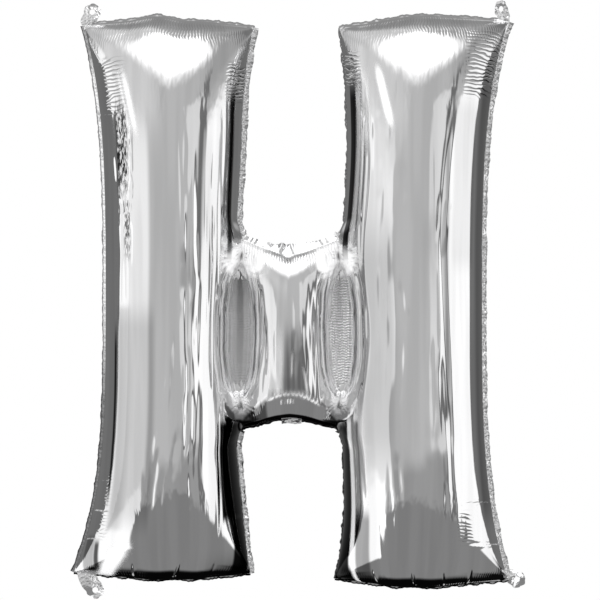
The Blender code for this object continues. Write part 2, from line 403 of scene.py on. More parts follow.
def bilinear(values: Array, rows: Array, columns: Array) -> Array:
    """Read a grid of values at fractional rows and columns, straight between neighbours.

    Args:
        values: (rows, columns, parts).
        rows: where to read, in rows.
        columns: the same, in columns.

    Returns:
        The values there.
    """
    i = np.clip(np.floor(rows).astype(int), 0, values.shape[0] - 2)
    j = np.clip(np.floor(columns).astype(int), 0, values.shape[1] - 2)
    f = (rows - i)[:, None, None]
    g = (columns - j)[None, :, None]
    low = values[i][:, j] * (1 - g) + values[i][:, j + 1] * g
    high = values[i + 1][:, j] * (1 - g) + values[i + 1][:, j + 1] * g
    return low * (1 - f) + high * f


def cubic_rows(values: Array, rows: Array) -> Array:
    """Read a grid at fractional rows on a Catmull-Rom curve through four neighbours.

    Args:
        values: a grid, or a column of values.
        rows: where to read, in rows.

    Returns:
        The values there.
    """
    count = values.shape[0]
    before = 2 * values[:1] - values[1:2]
    after = 2 * values[-1:] - values[-2:-1]
    padded = np.concatenate([before, values, after])
    i = np.clip(np.floor(rows).astype(int), 0, count - 2)
    t = (rows - i).reshape((-1,) + (1,) * (values.ndim - 1))
    p0, p1, p2, p3 = (padded[i + k] for k in range(4))
    return p1 + 0.5 * t * (p2 - p0 + t * (2 * p0 - 5 * p1 + 4 * p2 - p3 + t * (3 * (p1 - p2) + p3 - p0)))


def cubic(values: Array, rows: Array, columns: Array) -> Array:
    """Read a grid of values at fractional rows and columns, smoothly in both directions."""
    tall = cubic_rows(values, rows)
    return cubic_rows(tall.swapaxes(0, 1), columns).swapaxes(0, 1)


def relaxed(values: Array, rounds: int) -> Array:
    """Smooth a grid's inner points towards their four neighbours, its edge kept.

    Args:
        values: the grid.
        rounds: how often.

    Returns:
        The smoothed grid.
    """
    values = values.copy()
    for _ in range(rounds):
        middle = values[1:-1, 1:-1]
        around = values[2:, 1:-1] + values[:-2, 1:-1] + values[1:-1, 2:] + values[1:-1, :-2]
        values[1:-1, 1:-1] = 0.5 * middle + 0.125 * around
    return values


def evened(values: Array, rounds: int) -> Array:
    """Smooth a grid's columns along their length, both ends kept.

    Args:
        values: the grid.
        rounds: how often.

    Returns:
        The smoothed grid.
    """
    values = values.copy()
    for _ in range(rounds):
        values[1:-1] = 0.5 * values[1:-1] + 0.25 * (values[2:] + values[:-2])
    return values


@dataclass(frozen=True)
class LetterOutline:
    """Where the seams of one half of the blown-up letter lie, in the letter's plane."""

    outer_waist: float
    outer_top_flare: float
    outer_bottom_flare: float
    inner_waist: float
    inner_top_flare: float
    inner_bottom_flare: float
    top: tuple[float, float, float]
    bottom: tuple[float, float, float]
    top_waves: tuple[tuple[float, float, float], ...]
    bottom_waves: tuple[tuple[float, float, float], ...]
    outer_power: float = 3.5
    inner_power: float = 5.0

    def edge(self, z: Array, waist: float, flares: tuple[float, float], power: float) -> Array:
        """A side seam's x: a waist and a flare to each end that grows as a power of height.

        Args:
            z: heights.
            waist: x at the waist.
            flares: what the top and the bottom add.
            power: how late the flares begin.

        Returns:
            The seam's x.
        """
        above = np.clip(z / self.top[1], 0, None) ** power
        below = np.clip(z / self.bottom[1], 0, None) ** power
        return waist + flares[0] * above + flares[1] * below

    def outer(self, z: Array) -> Array:
        """The outer seam's x at height z."""
        flares = self.outer_top_flare, self.outer_bottom_flare
        return self.edge(z, self.outer_waist, flares, self.outer_power)

    def inner(self, z: Array) -> Array:
        """The inner seam's x at height z."""
        flares = -self.inner_top_flare, -self.inner_bottom_flare
        return self.edge(z, self.inner_waist, flares, self.inner_power)

    @staticmethod
    def end(share: Array, heights: tuple[float, float, float],
            waves: tuple[tuple[float, float, float], ...]) -> Array:
        """An end seam's height: a parabola through its corners and middle, and bells upon it.

        Args:
            share: how far across from the inner corner to the outer one.
            heights: of the inner corner, the middle and the outer corner.
            waves: each bell's share, width and height.

        Returns:
            The heights.
        """
        inner, middle, outer = heights
        height = inner * (1 - share) * (1 - 2 * share) + 4 * middle * share * (1 - share)
        height = height + outer * share * (2 * share - 1)
        return height + sum(swell * bell(share, place, width) for place, width, swell in waves)


OUTLINES = {
    Hand.LEFT: LetterOutline(0.2663, 0.036, 0.049, 0.0745, 0.024, 0.014,
                             (0.386, 0.397, 0.389), (-0.382, -0.389, -0.380),
                             ((0.58, 0.10, 0.005), (0.42, 0.06, -0.001)),
                             ((0.55, 0.09, -0.002), (0.32, 0.08, -0.002))),
    Hand.RIGHT: LetterOutline(0.264, 0.045, 0.045, 0.0745, 0.017, 0.024,
                              (0.386, 0.400, 0.394), (-0.389, -0.3995, -0.3905),
                              ((0.46, 0.16, 0.003), (0.14, 0.04, -0.001)),
                              ((0.34, 0.09, -0.002), (0.56, 0.09, -0.002))),
}


class FormedSheet:
    """The blown-up sheet, ready to be read at any density.

    The dip is the V of the crossbar's top seam and the fall is how far its lower front hangs. The
    film turns to the front within a wall's depth behind the V. Corners are eased row by row.
    """

    corner_ease = (0.25, 0.5, 0.75)
    end_share = 0.3
    dip_depth = 10 * MM
    dip_middle = -1 * MM
    dip_half_width = 0.058
    fall_depth = 7 * MM
    wall = 1 * MM

    def __init__(self, cut: LetterCut) -> None:
        """Blow the sheet up on a coarse grid first, then on finer ones.

        Args:
            cut: the sheet's flat cut.
        """
        first, *finer = BLOW_ROUNDS
        film = Inflation(FlatGrid(cut, first.spacing))
        film.run(first)
        for blow in finer:
            film = film.refined(blow.spacing)
            film.run(blow)
        self.grid = film.grid
        self.points = film.points
        log.info("film blown up: %d by %d points", *self.points.shape[:2])

    def upright(self, outline: LetterOutline) -> tuple[Array, Array]:
        """The right upright's points, eased onto an outline, and their flat cut.

        The inner edge stays where it is beside the crossbar, and is eased off it over a few rows.

        Args:
            outline: where the seams are to lie.

        Returns:
            The points and the flat cut, as grids.
        """
        block = slice(self.grid.half_bar, None)
        points = self.points[:, block].copy()
        low = self.grid.low_rows
        high = low + self.grid.bar_rows
        share = self.grid.column_places[block] - 1
        x, z = points[..., 0], points[..., 2]
        inner = outline.inner(z[:, 0]) - x[:, 0]
        rows = np.arange(len(inner))
        eased = len(self.corner_ease)
        beyond = np.concatenate([rows[:low - eased], rows[high + eased + 1:]])
        inner = np.interp(rows, beyond, inner[beyond])
        inner[low:high + 1] = 0
        for side, step in ((low, -1), (high, 1)):
            inner[side + step:side + (eased + 1) * step:step] *= self.corner_ease
        outer = outline.outer(z[:, -1]) - x[:, -1]
        points[..., 0] += inner[:, None] * (1 - share) + outer[:, None] * share
        span = (z - z[0]) / (z[-1] - z[0])
        top = outline.end(share, outline.top, outline.top_waves) - z[-1]
        bottom = outline.end(share, outline.bottom, outline.bottom_waves) - z[0]
        points[..., 2] += rise(span, 1 - self.end_share, self.end_share) * top
        points[..., 2] += rise(span, self.end_share, -self.end_share) * bottom
        return points, self.grid.flat[:, block]

    def crossbar(self) -> tuple[Array, Array]:
        """The whole crossbar's points and their flat cut, its left half mirrored from the right.

        Its top seam is drawn down to a V, and the film turns to the front sharply behind it. The
        lower front hangs down by the fall, which leaves the depths as they are.

        Returns:
            The points and the flat cut, as grids.
        """
        rows = slice(self.grid.low_rows, self.grid.low_rows + self.grid.bar_rows + 1)
        columns = slice(0, self.grid.half_bar + 1)
        points, flat = self.points[rows, columns], self.grid.flat[rows, columns]
        points = np.concatenate([points[:, :0:-1] * (-1, 1, 1), points], axis=1)
        flat = np.concatenate([flat[:, :0:-1] * (-1, 1), flat], axis=1)
        height = points[..., 2].copy()
        span = (height - height[0]) / (height[-1] - height[0])
        dip = self.bar_dip(points[..., 0])
        fall = self.fall_depth * rise(np.abs(points[..., 0]), 0.074, -0.034)
        points[..., 2] -= dip * rise(span, 0.6, 0.4)
        read = points[..., 2] - (8 * MM - 0.8 * dip) * rise(span, 0.5, 0.5)
        depths = [np.interp(*column) for column in zip(read.T, height.T, points[..., 1].T)]
        turned = 1 - np.exp((points[..., 2] - points[-1, :, 2]) / self.wall)
        points[..., 1] = np.stack(depths, axis=-1) * turned
        points[..., 2] -= fall * rise(span, 0.45, -0.45)
        return points, flat

    def bar_dip(self, x: Array) -> Array:
        """How far the crossbar's top seam dips below a smooth line at x: a shallow V."""
        return self.dip_depth * np.clip(1 - np.abs(x - self.dip_middle) / self.dip_half_width, 0, 1)


def ease_spacing(count: int, edge: float) -> Array:
    """Places from 0 to 1 that lie closer at both ends: a straight run mixed with a cosine one."""
    t = np.linspace(0, 1, count)
    return (1 - edge) * t + edge * (1 - np.cos(np.pi * t)) / 2


def grid_quads(index: Array) -> Array:
    """Quads between neighbouring rows and columns of a grid of vertex numbers."""
    return np.stack([index[:-1, :-1], index[:-1, 1:], index[1:, 1:], index[1:, :-1]], axis=-1)


def mesh_from_grid(name: str, points: Array, uv: Array, outward: Array) -> bpy.types.Object:
    """A mesh object from a grid of points, one quad to each cell.

    Args:
        name: the object's name.
        points: (rows, columns, 3) places.
        uv: (rows, columns, 2) flat places, kept as the mesh's UV map.
        outward: the direction that the faces point to on average.

    Returns:
        The new object, linked to the scene.
    """
    rows, columns = points.shape[:2]
    index = np.arange(rows * columns).reshape(rows, columns)
    quads = grid_quads(index)
    area = np.cross(points[1:, 1:] - points[:-1, :-1], points[1:, :-1] - points[:-1, 1:])
    if (area.sum(axis=(0, 1)) @ outward) < 0:
        quads = quads[..., ::-1]
    return mesh_from_faces(name, points.reshape(-1, 3), quads.reshape(-1, 4), uv.reshape(-1, 2))


def mesh_from_faces(name: str, places: Array, quads: Array, uv: Array,
                    sharp: bool = False) -> bpy.types.Object:
    """A mesh object from places, quads and one UV place to each vertex, shaded smooth.

    Args:
        name: the object's name.
        places: (vertices, 3).
        quads: (faces, 4) vertex numbers.
        uv: (vertices, 2).
        sharp: whether edges steeper than SHARP_ANGLE stay sharp.

    Returns:
        The new object, linked to the scene.
    """
    mesh = bpy.data.meshes.new(name)
    mesh.vertices.add(len(places))
    mesh.vertices.foreach_set("co", places.astype(np.float32).ravel())
    mesh.loops.add(quads.size)
    mesh.loops.foreach_set("vertex_index", quads.astype(np.int32).ravel())
    mesh.polygons.add(len(quads))
    mesh.polygons.foreach_set("loop_start", np.arange(0, quads.size, 4, dtype=np.int32))
    mesh.update(calc_edges=True)
    layer = mesh.uv_layers.new(name="cut")
    layer.data.foreach_set("uv", uv[quads.ravel()].astype(np.float32).ravel())
    mesh.shade_smooth()
    if sharp:
        mesh.set_sharp_from_angle(angle=SHARP_ANGLE)
    item = bpy.data.objects.new(name, mesh)
    bpy.context.scene.collection.objects.link(item)
    return item


def grid_normals(points: Array) -> Array:
    """Unit normals of a grid of points from its neighbours' differences."""
    normal = np.cross(np.gradient(points, axis=1), np.gradient(points, axis=0))
    return normal / (np.linalg.norm(normal, axis=-1, keepdims=True) + 1e-12)


class Wire:
    """A shader socket on which Python's operators build Math nodes."""

    def __init__(self, tree: "ShaderTree", socket: bpy.types.NodeSocket) -> None:
        """Wrap a socket of a tree."""
        self.tree = tree
        self.socket = socket

    def math(self, operation: str, *others: "Wire | float") -> "Wire":
        """A Math node fed by this wire and others."""
        values = dict(enumerate((self, *others)))
        return self.tree.node("ShaderNodeMath", {"operation": operation}, values)

    def __add__(self, other: "Wire | float") -> "Wire":
        """Sum."""
        return self.math("ADD", other)

    __radd__ = __add__

    def __mul__(self, other: "Wire | float") -> "Wire":
        """Product."""
        return self.math("MULTIPLY", other)

    __rmul__ = __mul__

    def __sub__(self, other: "Wire | float") -> "Wire":
        """Difference."""
        return self.math("SUBTRACT", other)

    def __rsub__(self, other: float) -> "Wire":
        """A number less this wire."""
        return (self * -1) + other

    def __abs__(self) -> "Wire":
        """Size without sign."""
        return self.math("ABSOLUTE")

    def ramp(self, low: float, high: float, start: float = 0.0, end: float = 1.0) -> "Wire":
        """Eased from start at low to end at high."""
        settings = {"interpolation_type": "SMOOTHSTEP"}
        return self.tree.node("ShaderNodeMapRange", settings, {0: self, 1: low, 2: high, 3: start, 4: end})


class ShaderTree:
    """A node tree that is built by calls."""

    def __init__(self, owner: bpy.types.ID) -> None:
        """Start an empty tree on a material or world.

        Args:
            owner: the material or world.
        """
        owner.use_nodes = True
        self.tree = owner.node_tree
        self.tree.nodes.clear()

    def node(self, kind: str, settings: dict | None = None, values: dict | None = None,
             output: int | str = 0) -> Wire:
        """Add a node.

        Args:
            kind: the node's type.
            settings: its properties, set first.
            values: socket index or name to a number, tuple or wire.
            output: which output to return.

        Returns:
            The chosen output.
        """
        node = self.tree.nodes.new(kind)
        for name, value in (settings or {}).items():
            setattr(node, name, value)
        for name, value in (values or {}).items():
            if isinstance(value, Wire):
                self.tree.links.new(value.socket, node.inputs[name])
            else:
                node.inputs[name].default_value = value
        outputs = node.outputs
        return Wire(self, outputs[output]) if len(outputs) else Wire(self, None)

    def part(self, vector: Wire, axis: int) -> Wire:
        """One coordinate of a vector."""
        return self.node("ShaderNodeSeparateXYZ", {}, {0: vector}, axis)

    def attribute(self, name: str) -> Wire:
        """A number kept on the mesh's vertices."""
        return self.node("ShaderNodeAttribute", {"attribute_name": name}, {}, "Fac")

    def noise(self, place: Wire, scale: float, detail: float = 2.0, roughness: float = 0.5) -> Wire:
        """A noise texture's height on a place, in features to a metre."""
        return self.node("ShaderNodeTexNoise", {}, {
            "Vector": place, "Scale": scale, "Detail": detail, "Roughness": roughness})

    def grain(self, place: Wire, factors: Factors, detail: float = 2.0, roughness: float = 0.5) -> Wire:
        """Noise on a place that is first scaled by its own factor along each axis."""
        scaled = self.node("ShaderNodeVectorMath", {"operation": "MULTIPLY"}, {0: place, 1: factors})
        return self.noise(scaled, 1.0, detail, roughness)

    def object_place(self) -> Wire:
        """A point's place on its piece, in metres."""
        return self.node("ShaderNodeTexCoord", {}, {}, "Object")

    def bump(self, height: Wire, distance: float) -> Wire:
        """A normal turned by a height, which is worth a distance in metres."""
        return self.node("ShaderNodeBump", {}, {"Strength": 1.0, "Distance": distance, "Height": height})

    def dimmed(self, colour: Factors, light: Wire) -> Wire:
        """A colour times a light from 0 to 1."""
        return self.node("ShaderNodeVectorMath", {"operation": "SCALE"}, {0: colour, "Scale": light})

    def finish(self, values: dict) -> None:
        """End a material's tree in a principled surface with these values."""
        surface = self.node("ShaderNodeBsdfPrincipled", {}, values)
        self.node("ShaderNodeOutputMaterial", {}, {"Surface": surface})


@dataclass(frozen=True)
class MirrorFilmFinish:
    """Metallised film, stretched tight: a near-mirror, finely puckered along its seams.

    The piece's attributes say how deep the puckers run: across the side seams as rungs, across
    the end seams as ticks, and how strongly the film is drawn into fine upright lines. Two more
    say where painted shade darkens it, evenly or as painted mottle, for the dark gap beside it that
    it mirrors, and one says where it is crumpled until it looks matte. Its pleat valleys get painted
    shade too.
    """

    name: str = "mirror_film"
    colour: Factors = (0.93, 0.93, 0.935)
    roughness: float = 0.045
    haze: float = 0.05
    cloud_scale: float = 14.0
    rung_pitch: float = 0.0056
    rung_depth: float = 0.26
    tick_pitch: float = 0.0040
    tick_depth: float = 0.22
    line_depth: float = 0.05
    swell: float = 2.2
    ripple_depth: float = 0.25
    # valley and darkest set the painted shade in the pleat valleys: how much colour it takes, and the
    # least it leaves
    valley: float = 0.42
    darkest: float = 0.06
    draw: float = 0.10
    wander_grain: Factors = (26.0, 40.0, 1.0)
    line_grain: Factors = (170.0, 5.0, 1.0)
    draw_grain: Factors = (48.0, 3.0, 1.0)
    painted_mottle_grain: Factors = (400.0, 90.0, 1.0)
    ripple_grain: Factors = (190.0, 46.0, 1.0)

    def material(self) -> bpy.types.Material:
        """Build the material.

        Returns:
            The material.
        """
        made = bpy.data.materials.new(self.name)
        shader = ShaderTree(made)
        cut = shader.node("ShaderNodeUVMap", {"uv_map": "cut"})
        across, along = shader.part(cut, 0), shader.part(cut, 1)
        wander = shader.grain(cut, self.wander_grain)
        rung = self.pleats(along, across, self.rung_pitch, wander)
        tick = self.pleats(across, along, self.tick_pitch, wander)
        drawn = shader.grain(cut, self.draw_grain)
        cloud = shader.noise(shader.object_place(), self.cloud_scale, 3)
        shader.finish({
            "Base Color": shader.dimmed(self.colour, self.light(shader, cut, rung, tick, drawn)),
            "Metallic": 1 - shader.attribute("matte"),
            "Roughness": cloud.ramp(0.35, 0.75, self.roughness, self.roughness + self.haze),
            "Normal": shader.bump(self.relief(shader, cut, rung, tick, drawn), MM)})
        return made

    def relief(self, shader: ShaderTree, cut: Wire, rung: Wire, tick: Wire, drawn: Wire) -> Wire:
        """Height of the puckers, the upright lines and the ripples, in millimetres.

        Args:
            shader: the material's tree.
            cut: place on the flat cut.
            rung: pleats across the side seams, 0 to 1.
            tick: pleats across the end seams, 0 to 1.
            drawn: broad upright noise.

        Returns:
            The height.
        """
        puckers = rung * shader.attribute("rungs") * self.rung_depth
        puckers = puckers + tick * shader.attribute("ticks") * self.tick_depth
        lines = (shader.grain(cut, self.line_grain) + drawn * self.swell) * shader.attribute("lines")
        ripple = shader.grain(cut, self.ripple_grain, 1) * shader.attribute("ripple")
        return puckers + lines * self.line_depth + ripple * self.ripple_depth

    def light(self, shader: ShaderTree, cut: Wire, rung: Wire, tick: Wire, drawn: Wire) -> Wire:
        """How much of its colour the film keeps: painted shade takes some in valleys, in shaded
        strips and in painted mottle, and the film keeps less where drawn.

        Args:
            shader: the material's tree.
            cut: place on the flat cut.
            rung: pleats across the side seams, 0 to 1.
            tick: pleats across the end seams, 0 to 1.
            drawn: broad upright noise.

        Returns:
            The share that is kept.
        """
        # Painted shade: pleat valleys, shaded strips and painted mottle darken the base colour, for the
        # dark things that the film mirrors
        valleys = (1 - rung).math("POWER", 2.0) * shader.attribute("rungs") * self.valley
        valleys = valleys + (1 - tick).math("POWER", 2.0) * shader.attribute("ticks") * self.valley * 0.5
        mottle = shader.grain(cut, self.painted_mottle_grain, 3, 0.6).ramp(0.42, 0.56) * shader.attribute("mottle")
        light = (1 - shader.attribute("shade")) * (1 - mottle) * (1 - drawn.ramp(0.38, 0.62) * self.draw)
        return light * (1 - valleys).math("MAXIMUM", self.darkest)

    @staticmethod
    def pleats(along: Wire, aside: Wire, pitch: float, wander: Wire) -> Wire:
        """Rounded pleats with sharp valleys, that wander a little in pitch.

        Args:
            along: place along the seam, in metres.
            aside: place away from the seam; the pleats lean a little with it.
            pitch: distance from pleat to pleat.
            wander: a slow noise that shifts the pleats.

        Returns:
            Height from 0 to 1.
        """
        turn = along * (math.pi / pitch) + aside * 60.0 + wander * 9.0
        return abs(turn.math("SINE")).math("POWER", 0.8)


@dataclass(frozen=True)
class CrumpledFilmFinish:
    """Film that has been welded or cut free: crinkled and hazy."""

    name: str
    colour: Factors = (0.95, 0.95, 0.955)
    roughness: float = 0.16
    crinkle_scale: float = 260.0
    crinkle_depth: float = 0.9
    emboss: float = 0.0
    fade: float = 1.0
    painted_shade_span: tuple[float, float] = (-0.03, 0.05)
    cloud_scale: float = 130.0
    row_pitch: float = 0.0038
    column_grain: Factors = (230.0, 1.0, 14.0)
    patch_grain: Factors = (420.0, 1.0, 130.0)

    def material(self) -> bpy.types.Material:
        """Build the material.

        Returns:
            The material.
        """
        made = bpy.data.materials.new(self.name)
        shader = ShaderTree(made)
        place = shader.object_place()
        crinkle = shader.node("ShaderNodeTexVoronoi", {"feature": "F1"}, {
            "Vector": place, "Scale": self.crinkle_scale})
        cloud = shader.noise(place, self.cloud_scale, 3)
        height = crinkle * 0.7 + cloud
        if self.emboss:
            height = height * 0.4 + self.rows(shader, place) * self.emboss
        # Painted shade: the colour dims with height over its span of heights down to fade, and the shade
        # attribute darkens it further
        light = shader.part(place, 2).ramp(*self.painted_shade_span, 1.0, self.fade)
        shader.finish({
            "Base Color": shader.dimmed(self.colour, light * (1 - shader.attribute("shade"))),
            "Metallic": 1.0,
            "Roughness": cloud.ramp(0.3, 0.7, self.roughness * 0.6, self.roughness * 1.5),
            "Normal": shader.bump(height, self.crinkle_depth * MM)})
        return made

    def rows(self, shader: ShaderTree, place: Wire) -> Wire:
        """Embossed rows one above the other, that wander by column and fade in and out by patch.

        Args:
            shader: the material's tree.
            place: place on the piece.

        Returns:
            Height of the rows.
        """
        column = shader.grain(place, self.column_grain, 2, 0.6)
        patch = shader.grain(place, self.patch_grain, 2, 0.6)
        row = (shader.part(place, 2) * (2 * math.pi / self.row_pitch) + column * 16.0).math("SINE")
        return row * patch.ramp(0.38, 0.62, 0.1, 1.3)


@dataclass(frozen=True)
class Ridge:
    """A long low ridge, or a valley, that runs up the film. All in millimetres on the flat cut.

    across is its distance from the outer seam at its lower end, drift how much further it lies at
    its upper end; it runs between the heights low and high.
    """

    across: float
    drift: float
    low: float
    high: float
    width: float
    rise: float
    bow: float = 0.0
    taper: float = 0.35

    def height(self, across: Array, along: Array) -> Array:
        """The ridge's height: a bell across, eased away at both ends.

        Its middle line is across + drift * way + bow * 6.75 * way**2 * (1 - way).

        Args:
            across: distance from the outer seam.
            along: height on the cut.

        Returns:
            The ridge's height.
        """
        way = (along - self.low) / (self.high - self.low)
        middle = self.across + self.drift * way + self.bow * 6.75 * way**2 * (1 - way)
        return self.rise * bell(across, middle, self.width) * window(way, 0, 1, self.taper)


@dataclass(frozen=True)
class RidgeCluster:
    """A patch of film drawn into many ridges and valleys, scattered by chance."""

    across: Span
    along: Span
    count: int
    length: Span
    width: Span
    rise: float
    drift: float = 3.0

    def ridges(self, chance: np.random.Generator) -> list[Ridge]:
        """Scatter the ridges.

        Args:
            chance: where their sizes and places come from.

        Returns:
            The ridges.
        """
        lengths = chance.uniform(*self.length, self.count)
        middles = chance.uniform(*self.along, self.count)
        across = chance.uniform(*self.across, self.count)
        width = chance.uniform(*self.width, self.count)
        rise = chance.choice((-1, 1), self.count) * chance.uniform(0.35, 1, self.count) * self.rise
        drift = chance.normal(0, self.drift, self.count)
        return [Ridge(*row) for row in zip(
            across, drift, middles - lengths / 2, middles + lengths / 2, width, rise * width / 3)]


@dataclass(frozen=True)
class EdgeCrease:
    """A sharp crease that runs in from a side seam. All in millimetres on the flat cut."""

    height: float
    reach: float
    slant: float
    rise: float
    width: float = 2.2
    fade: float = 18.0

    def fold(self, aside: Array, along: Array) -> Array:
        """A valley beside a ridge across the seam's edge, eased away at its reach."""
        off = (along - self.height - self.slant * aside) / self.width
        return -self.rise * off * np.exp(-off * off) * rise(aside, self.reach, -self.fade)


@dataclass(frozen=True)
class FlatPlaces:
    """Where the points of an upright lie on the flat cut, in millimetres.

    outer, inner, top and bottom are distances from the four seams over the film; along is height.
    """

    outer: Array
    inner: Array
    top: Array
    bottom: Array
    along: Array

    @classmethod
    def measured(cls, flat: Array) -> "FlatPlaces":
        """Measure a grid of places on the flat cut, given in metres.

        Args:
            flat: (rows, columns, 2) places.

        Returns:
            The distances.
        """
        steps = np.linalg.norm(np.diff(flat, axis=1), axis=-1)
        inner = np.concatenate([np.zeros((flat.shape[0], 1)), np.cumsum(steps, axis=1)], axis=1)
        rises = np.linalg.norm(np.diff(flat, axis=0), axis=-1)
        bottom = np.concatenate([np.zeros((1, flat.shape[1])), np.cumsum(rises, axis=0)], axis=0)
        outer, top = inner[:, -1:] - inner, bottom[-1:] - bottom
        return cls(outer / MM, inner / MM, top / MM, bottom / MM, flat[..., 1] / MM)

    @property
    def side(self) -> Array:
        """Distance from the nearer side seam."""
        return np.minimum(self.outer, self.inner)

    def off(self, seam: Seam) -> Array:
        """Distance from one side seam."""
        return self.outer if seam is Seam.OUTER else self.inner


@dataclass(frozen=True)
class Zone:
    """A stretch of a seam where the film is puckered, in millimetres of height, and how deeply."""

    seam: Seam
    low: float
    high: float
    depth: float
    reach: float = 85.0
    start: float = 0.0

    def pleats(self, at: FlatPlaces) -> Array:
        """How deep the puckers run: eased in from start to reach off the seam and at both ends.

        Args:
            at: the film's places.

        Returns:
            The depth.
        """
        aside = at.off(self.seam)
        reach = rise(aside, self.reach, -16) * rise(aside, self.start, 10)
        return self.depth * window(at.along, self.low, self.high, 12) * reach


@dataclass(frozen=True)
class Strip:
    """A strip of film that runs up beside a side seam, in millimetres on the flat cut.

    aside is its two distances from the seam and along its two heights, each eased over its own
    soft; depth is how strongly the film is darkened by painted shade or painted mottle, hazed or
    crumpled there.
    """

    seam: Seam
    aside: Span
    along: Span
    depth: float
    soft: Span

    def strength(self, at: FlatPlaces) -> Array:
        """How strong the strip is at each point."""
        strip = window(at.off(self.seam), *self.aside, self.soft[0])
        return self.depth * strip * window(at.along, *self.along, self.soft[1])


@dataclass(frozen=True)
class UprightDetail:
    """Everything that is creased into one upright's film, and how it is shaded.

    Shades are painted shade that darkens the film evenly, and painted mottles are painted shade in
    blots, both for the dark gap, upright and floor that the film mirrors; hazes and streaks make it
    matte, and crumples ripple it. Creases run in from the outer seam.
    """

    clusters: tuple[RidgeCluster, ...]
    ridges: tuple[Ridge, ...]
    zones: tuple[Zone, ...]
    creases: tuple[EdgeCrease, ...]
    shades: tuple[Strip, ...]
    hazes: tuple[Strip, ...]
    streaks: tuple[Ridge, ...]
    painted_mottles: tuple[Strip, ...] = ()
    crumples: tuple[Strip, ...] = ()


LEFT_DETAIL = UprightDetail(
    clusters=(
        RidgeCluster((60, 84), (90, 280), 30, (20, 70), (1.6, 2.4), 1.2),
        RidgeCluster((66, 88), (-10, 110), 8, (60, 140), (2.0, 3.5), 0.5),
        RidgeCluster((156, 180), (-170, 170), 26, (80, 260), (1.8, 3.4), 1.1),
        RidgeCluster((124, 180), (-290, -80), 24, (50, 160), (2.0, 4.0), 0.8),
        RidgeCluster((112, 190), (-290, -200), 22, (40, 100), (2.0, 4.0), 0.40),
        RidgeCluster((190, 222), (-330, 240), 22, (100, 320), (1.6, 2.6), 1.1),
        RidgeCluster((60, 215), (250, 330), 30, (30, 80), (2.0, 4.0), 0.10),
    ),
    ridges=(
        Ridge(66, 2, -60, 300, 4.0, 0.7),
        Ridge(158, 4, -330, 40, 5.0, 0.5),
        Ridge(105, 0, -430, -366, 1.6, 1.2),
        Ridge(165, 3, -430, -366, 1.6, 1.2),
        Ridge(48, -40, 330, 388, 2.2, 1.3),
    ),
    zones=(
        Zone(Seam.OUTER, 262, 350, 1.9, 86, 40),
        Zone(Seam.OUTER, -350, -240, 1.4, 66, 44),
        Zone(Seam.INNER, 282, 345, 2.4, 66),
    ),
    creases=(
        EdgeCrease(340, 66, -0.05, 0.9),
        EdgeCrease(264, 92, 0.03, 1.1),
        EdgeCrease(-258, 66, 0.02, 0.9),
        EdgeCrease(-303, 72, 0.0, 1.1),
        EdgeCrease(-350, 60, 0.1, 0.9),
    ),
    # Painted shade: strips darkened where the film mirrors the dark gap, the other upright and the floor
    shades=(
        Strip(Seam.INNER, (-9, 69), (-322, -160), 0.985, (4, 16)),
        Strip(Seam.INNER, (-9, 50), (-430, -300), 0.985, (4, 16)),
        Strip(Seam.INNER, (41, 57), (50, 320), 0.98, (5, 40)),
        Strip(Seam.OUTER, (52, 60), (-310, -20), 0.98, (3, 50)),
        Strip(Seam.OUTER, (20, 46), (-402, -338), 0.5, (5, 12)),
        Strip(Seam.OUTER, (42, 54), (-400, -342), 0.9, (4, 14)),
        Strip(Seam.OUTER, (58, 124), (-345, 8), 0.27, (8, 50)),
        Strip(Seam.OUTER, (54, 90), (-335, -2), 0.22, (14, 12)),
        Strip(Seam.INNER, (-60, 115), (-440, -350), 0.9, (90, 60)),
        Strip(Seam.OUTER, (174, 204), (20, 310), 0.16, (10, 120)),
    ),
    # Painted mottle: blots of painted shade, for dark streaks mirrored by crinkled film
    painted_mottles=(
        Strip(Seam.OUTER, (60, 84), (130, 300), 0.95, (5, 50)),
        Strip(Seam.OUTER, (71, 86), (50, 140), 0.85, (5, 30)),
    ),
    crumples=(Strip(Seam.OUTER, (60, 92), (95, 280), 9, (6, 40)),),
    hazes=(Strip(Seam.INNER, (2, 52), (-5, 92), 0.45, (14, 30)),),
    streaks=(
        Ridge(101, -28, 205, 355, 6.0, 0.62),
        Ridge(89, -22, 215, 350, 3.5, 0.55),
        Ridge(34, 66, -452, -330, 15, 1.0),
    ),
)
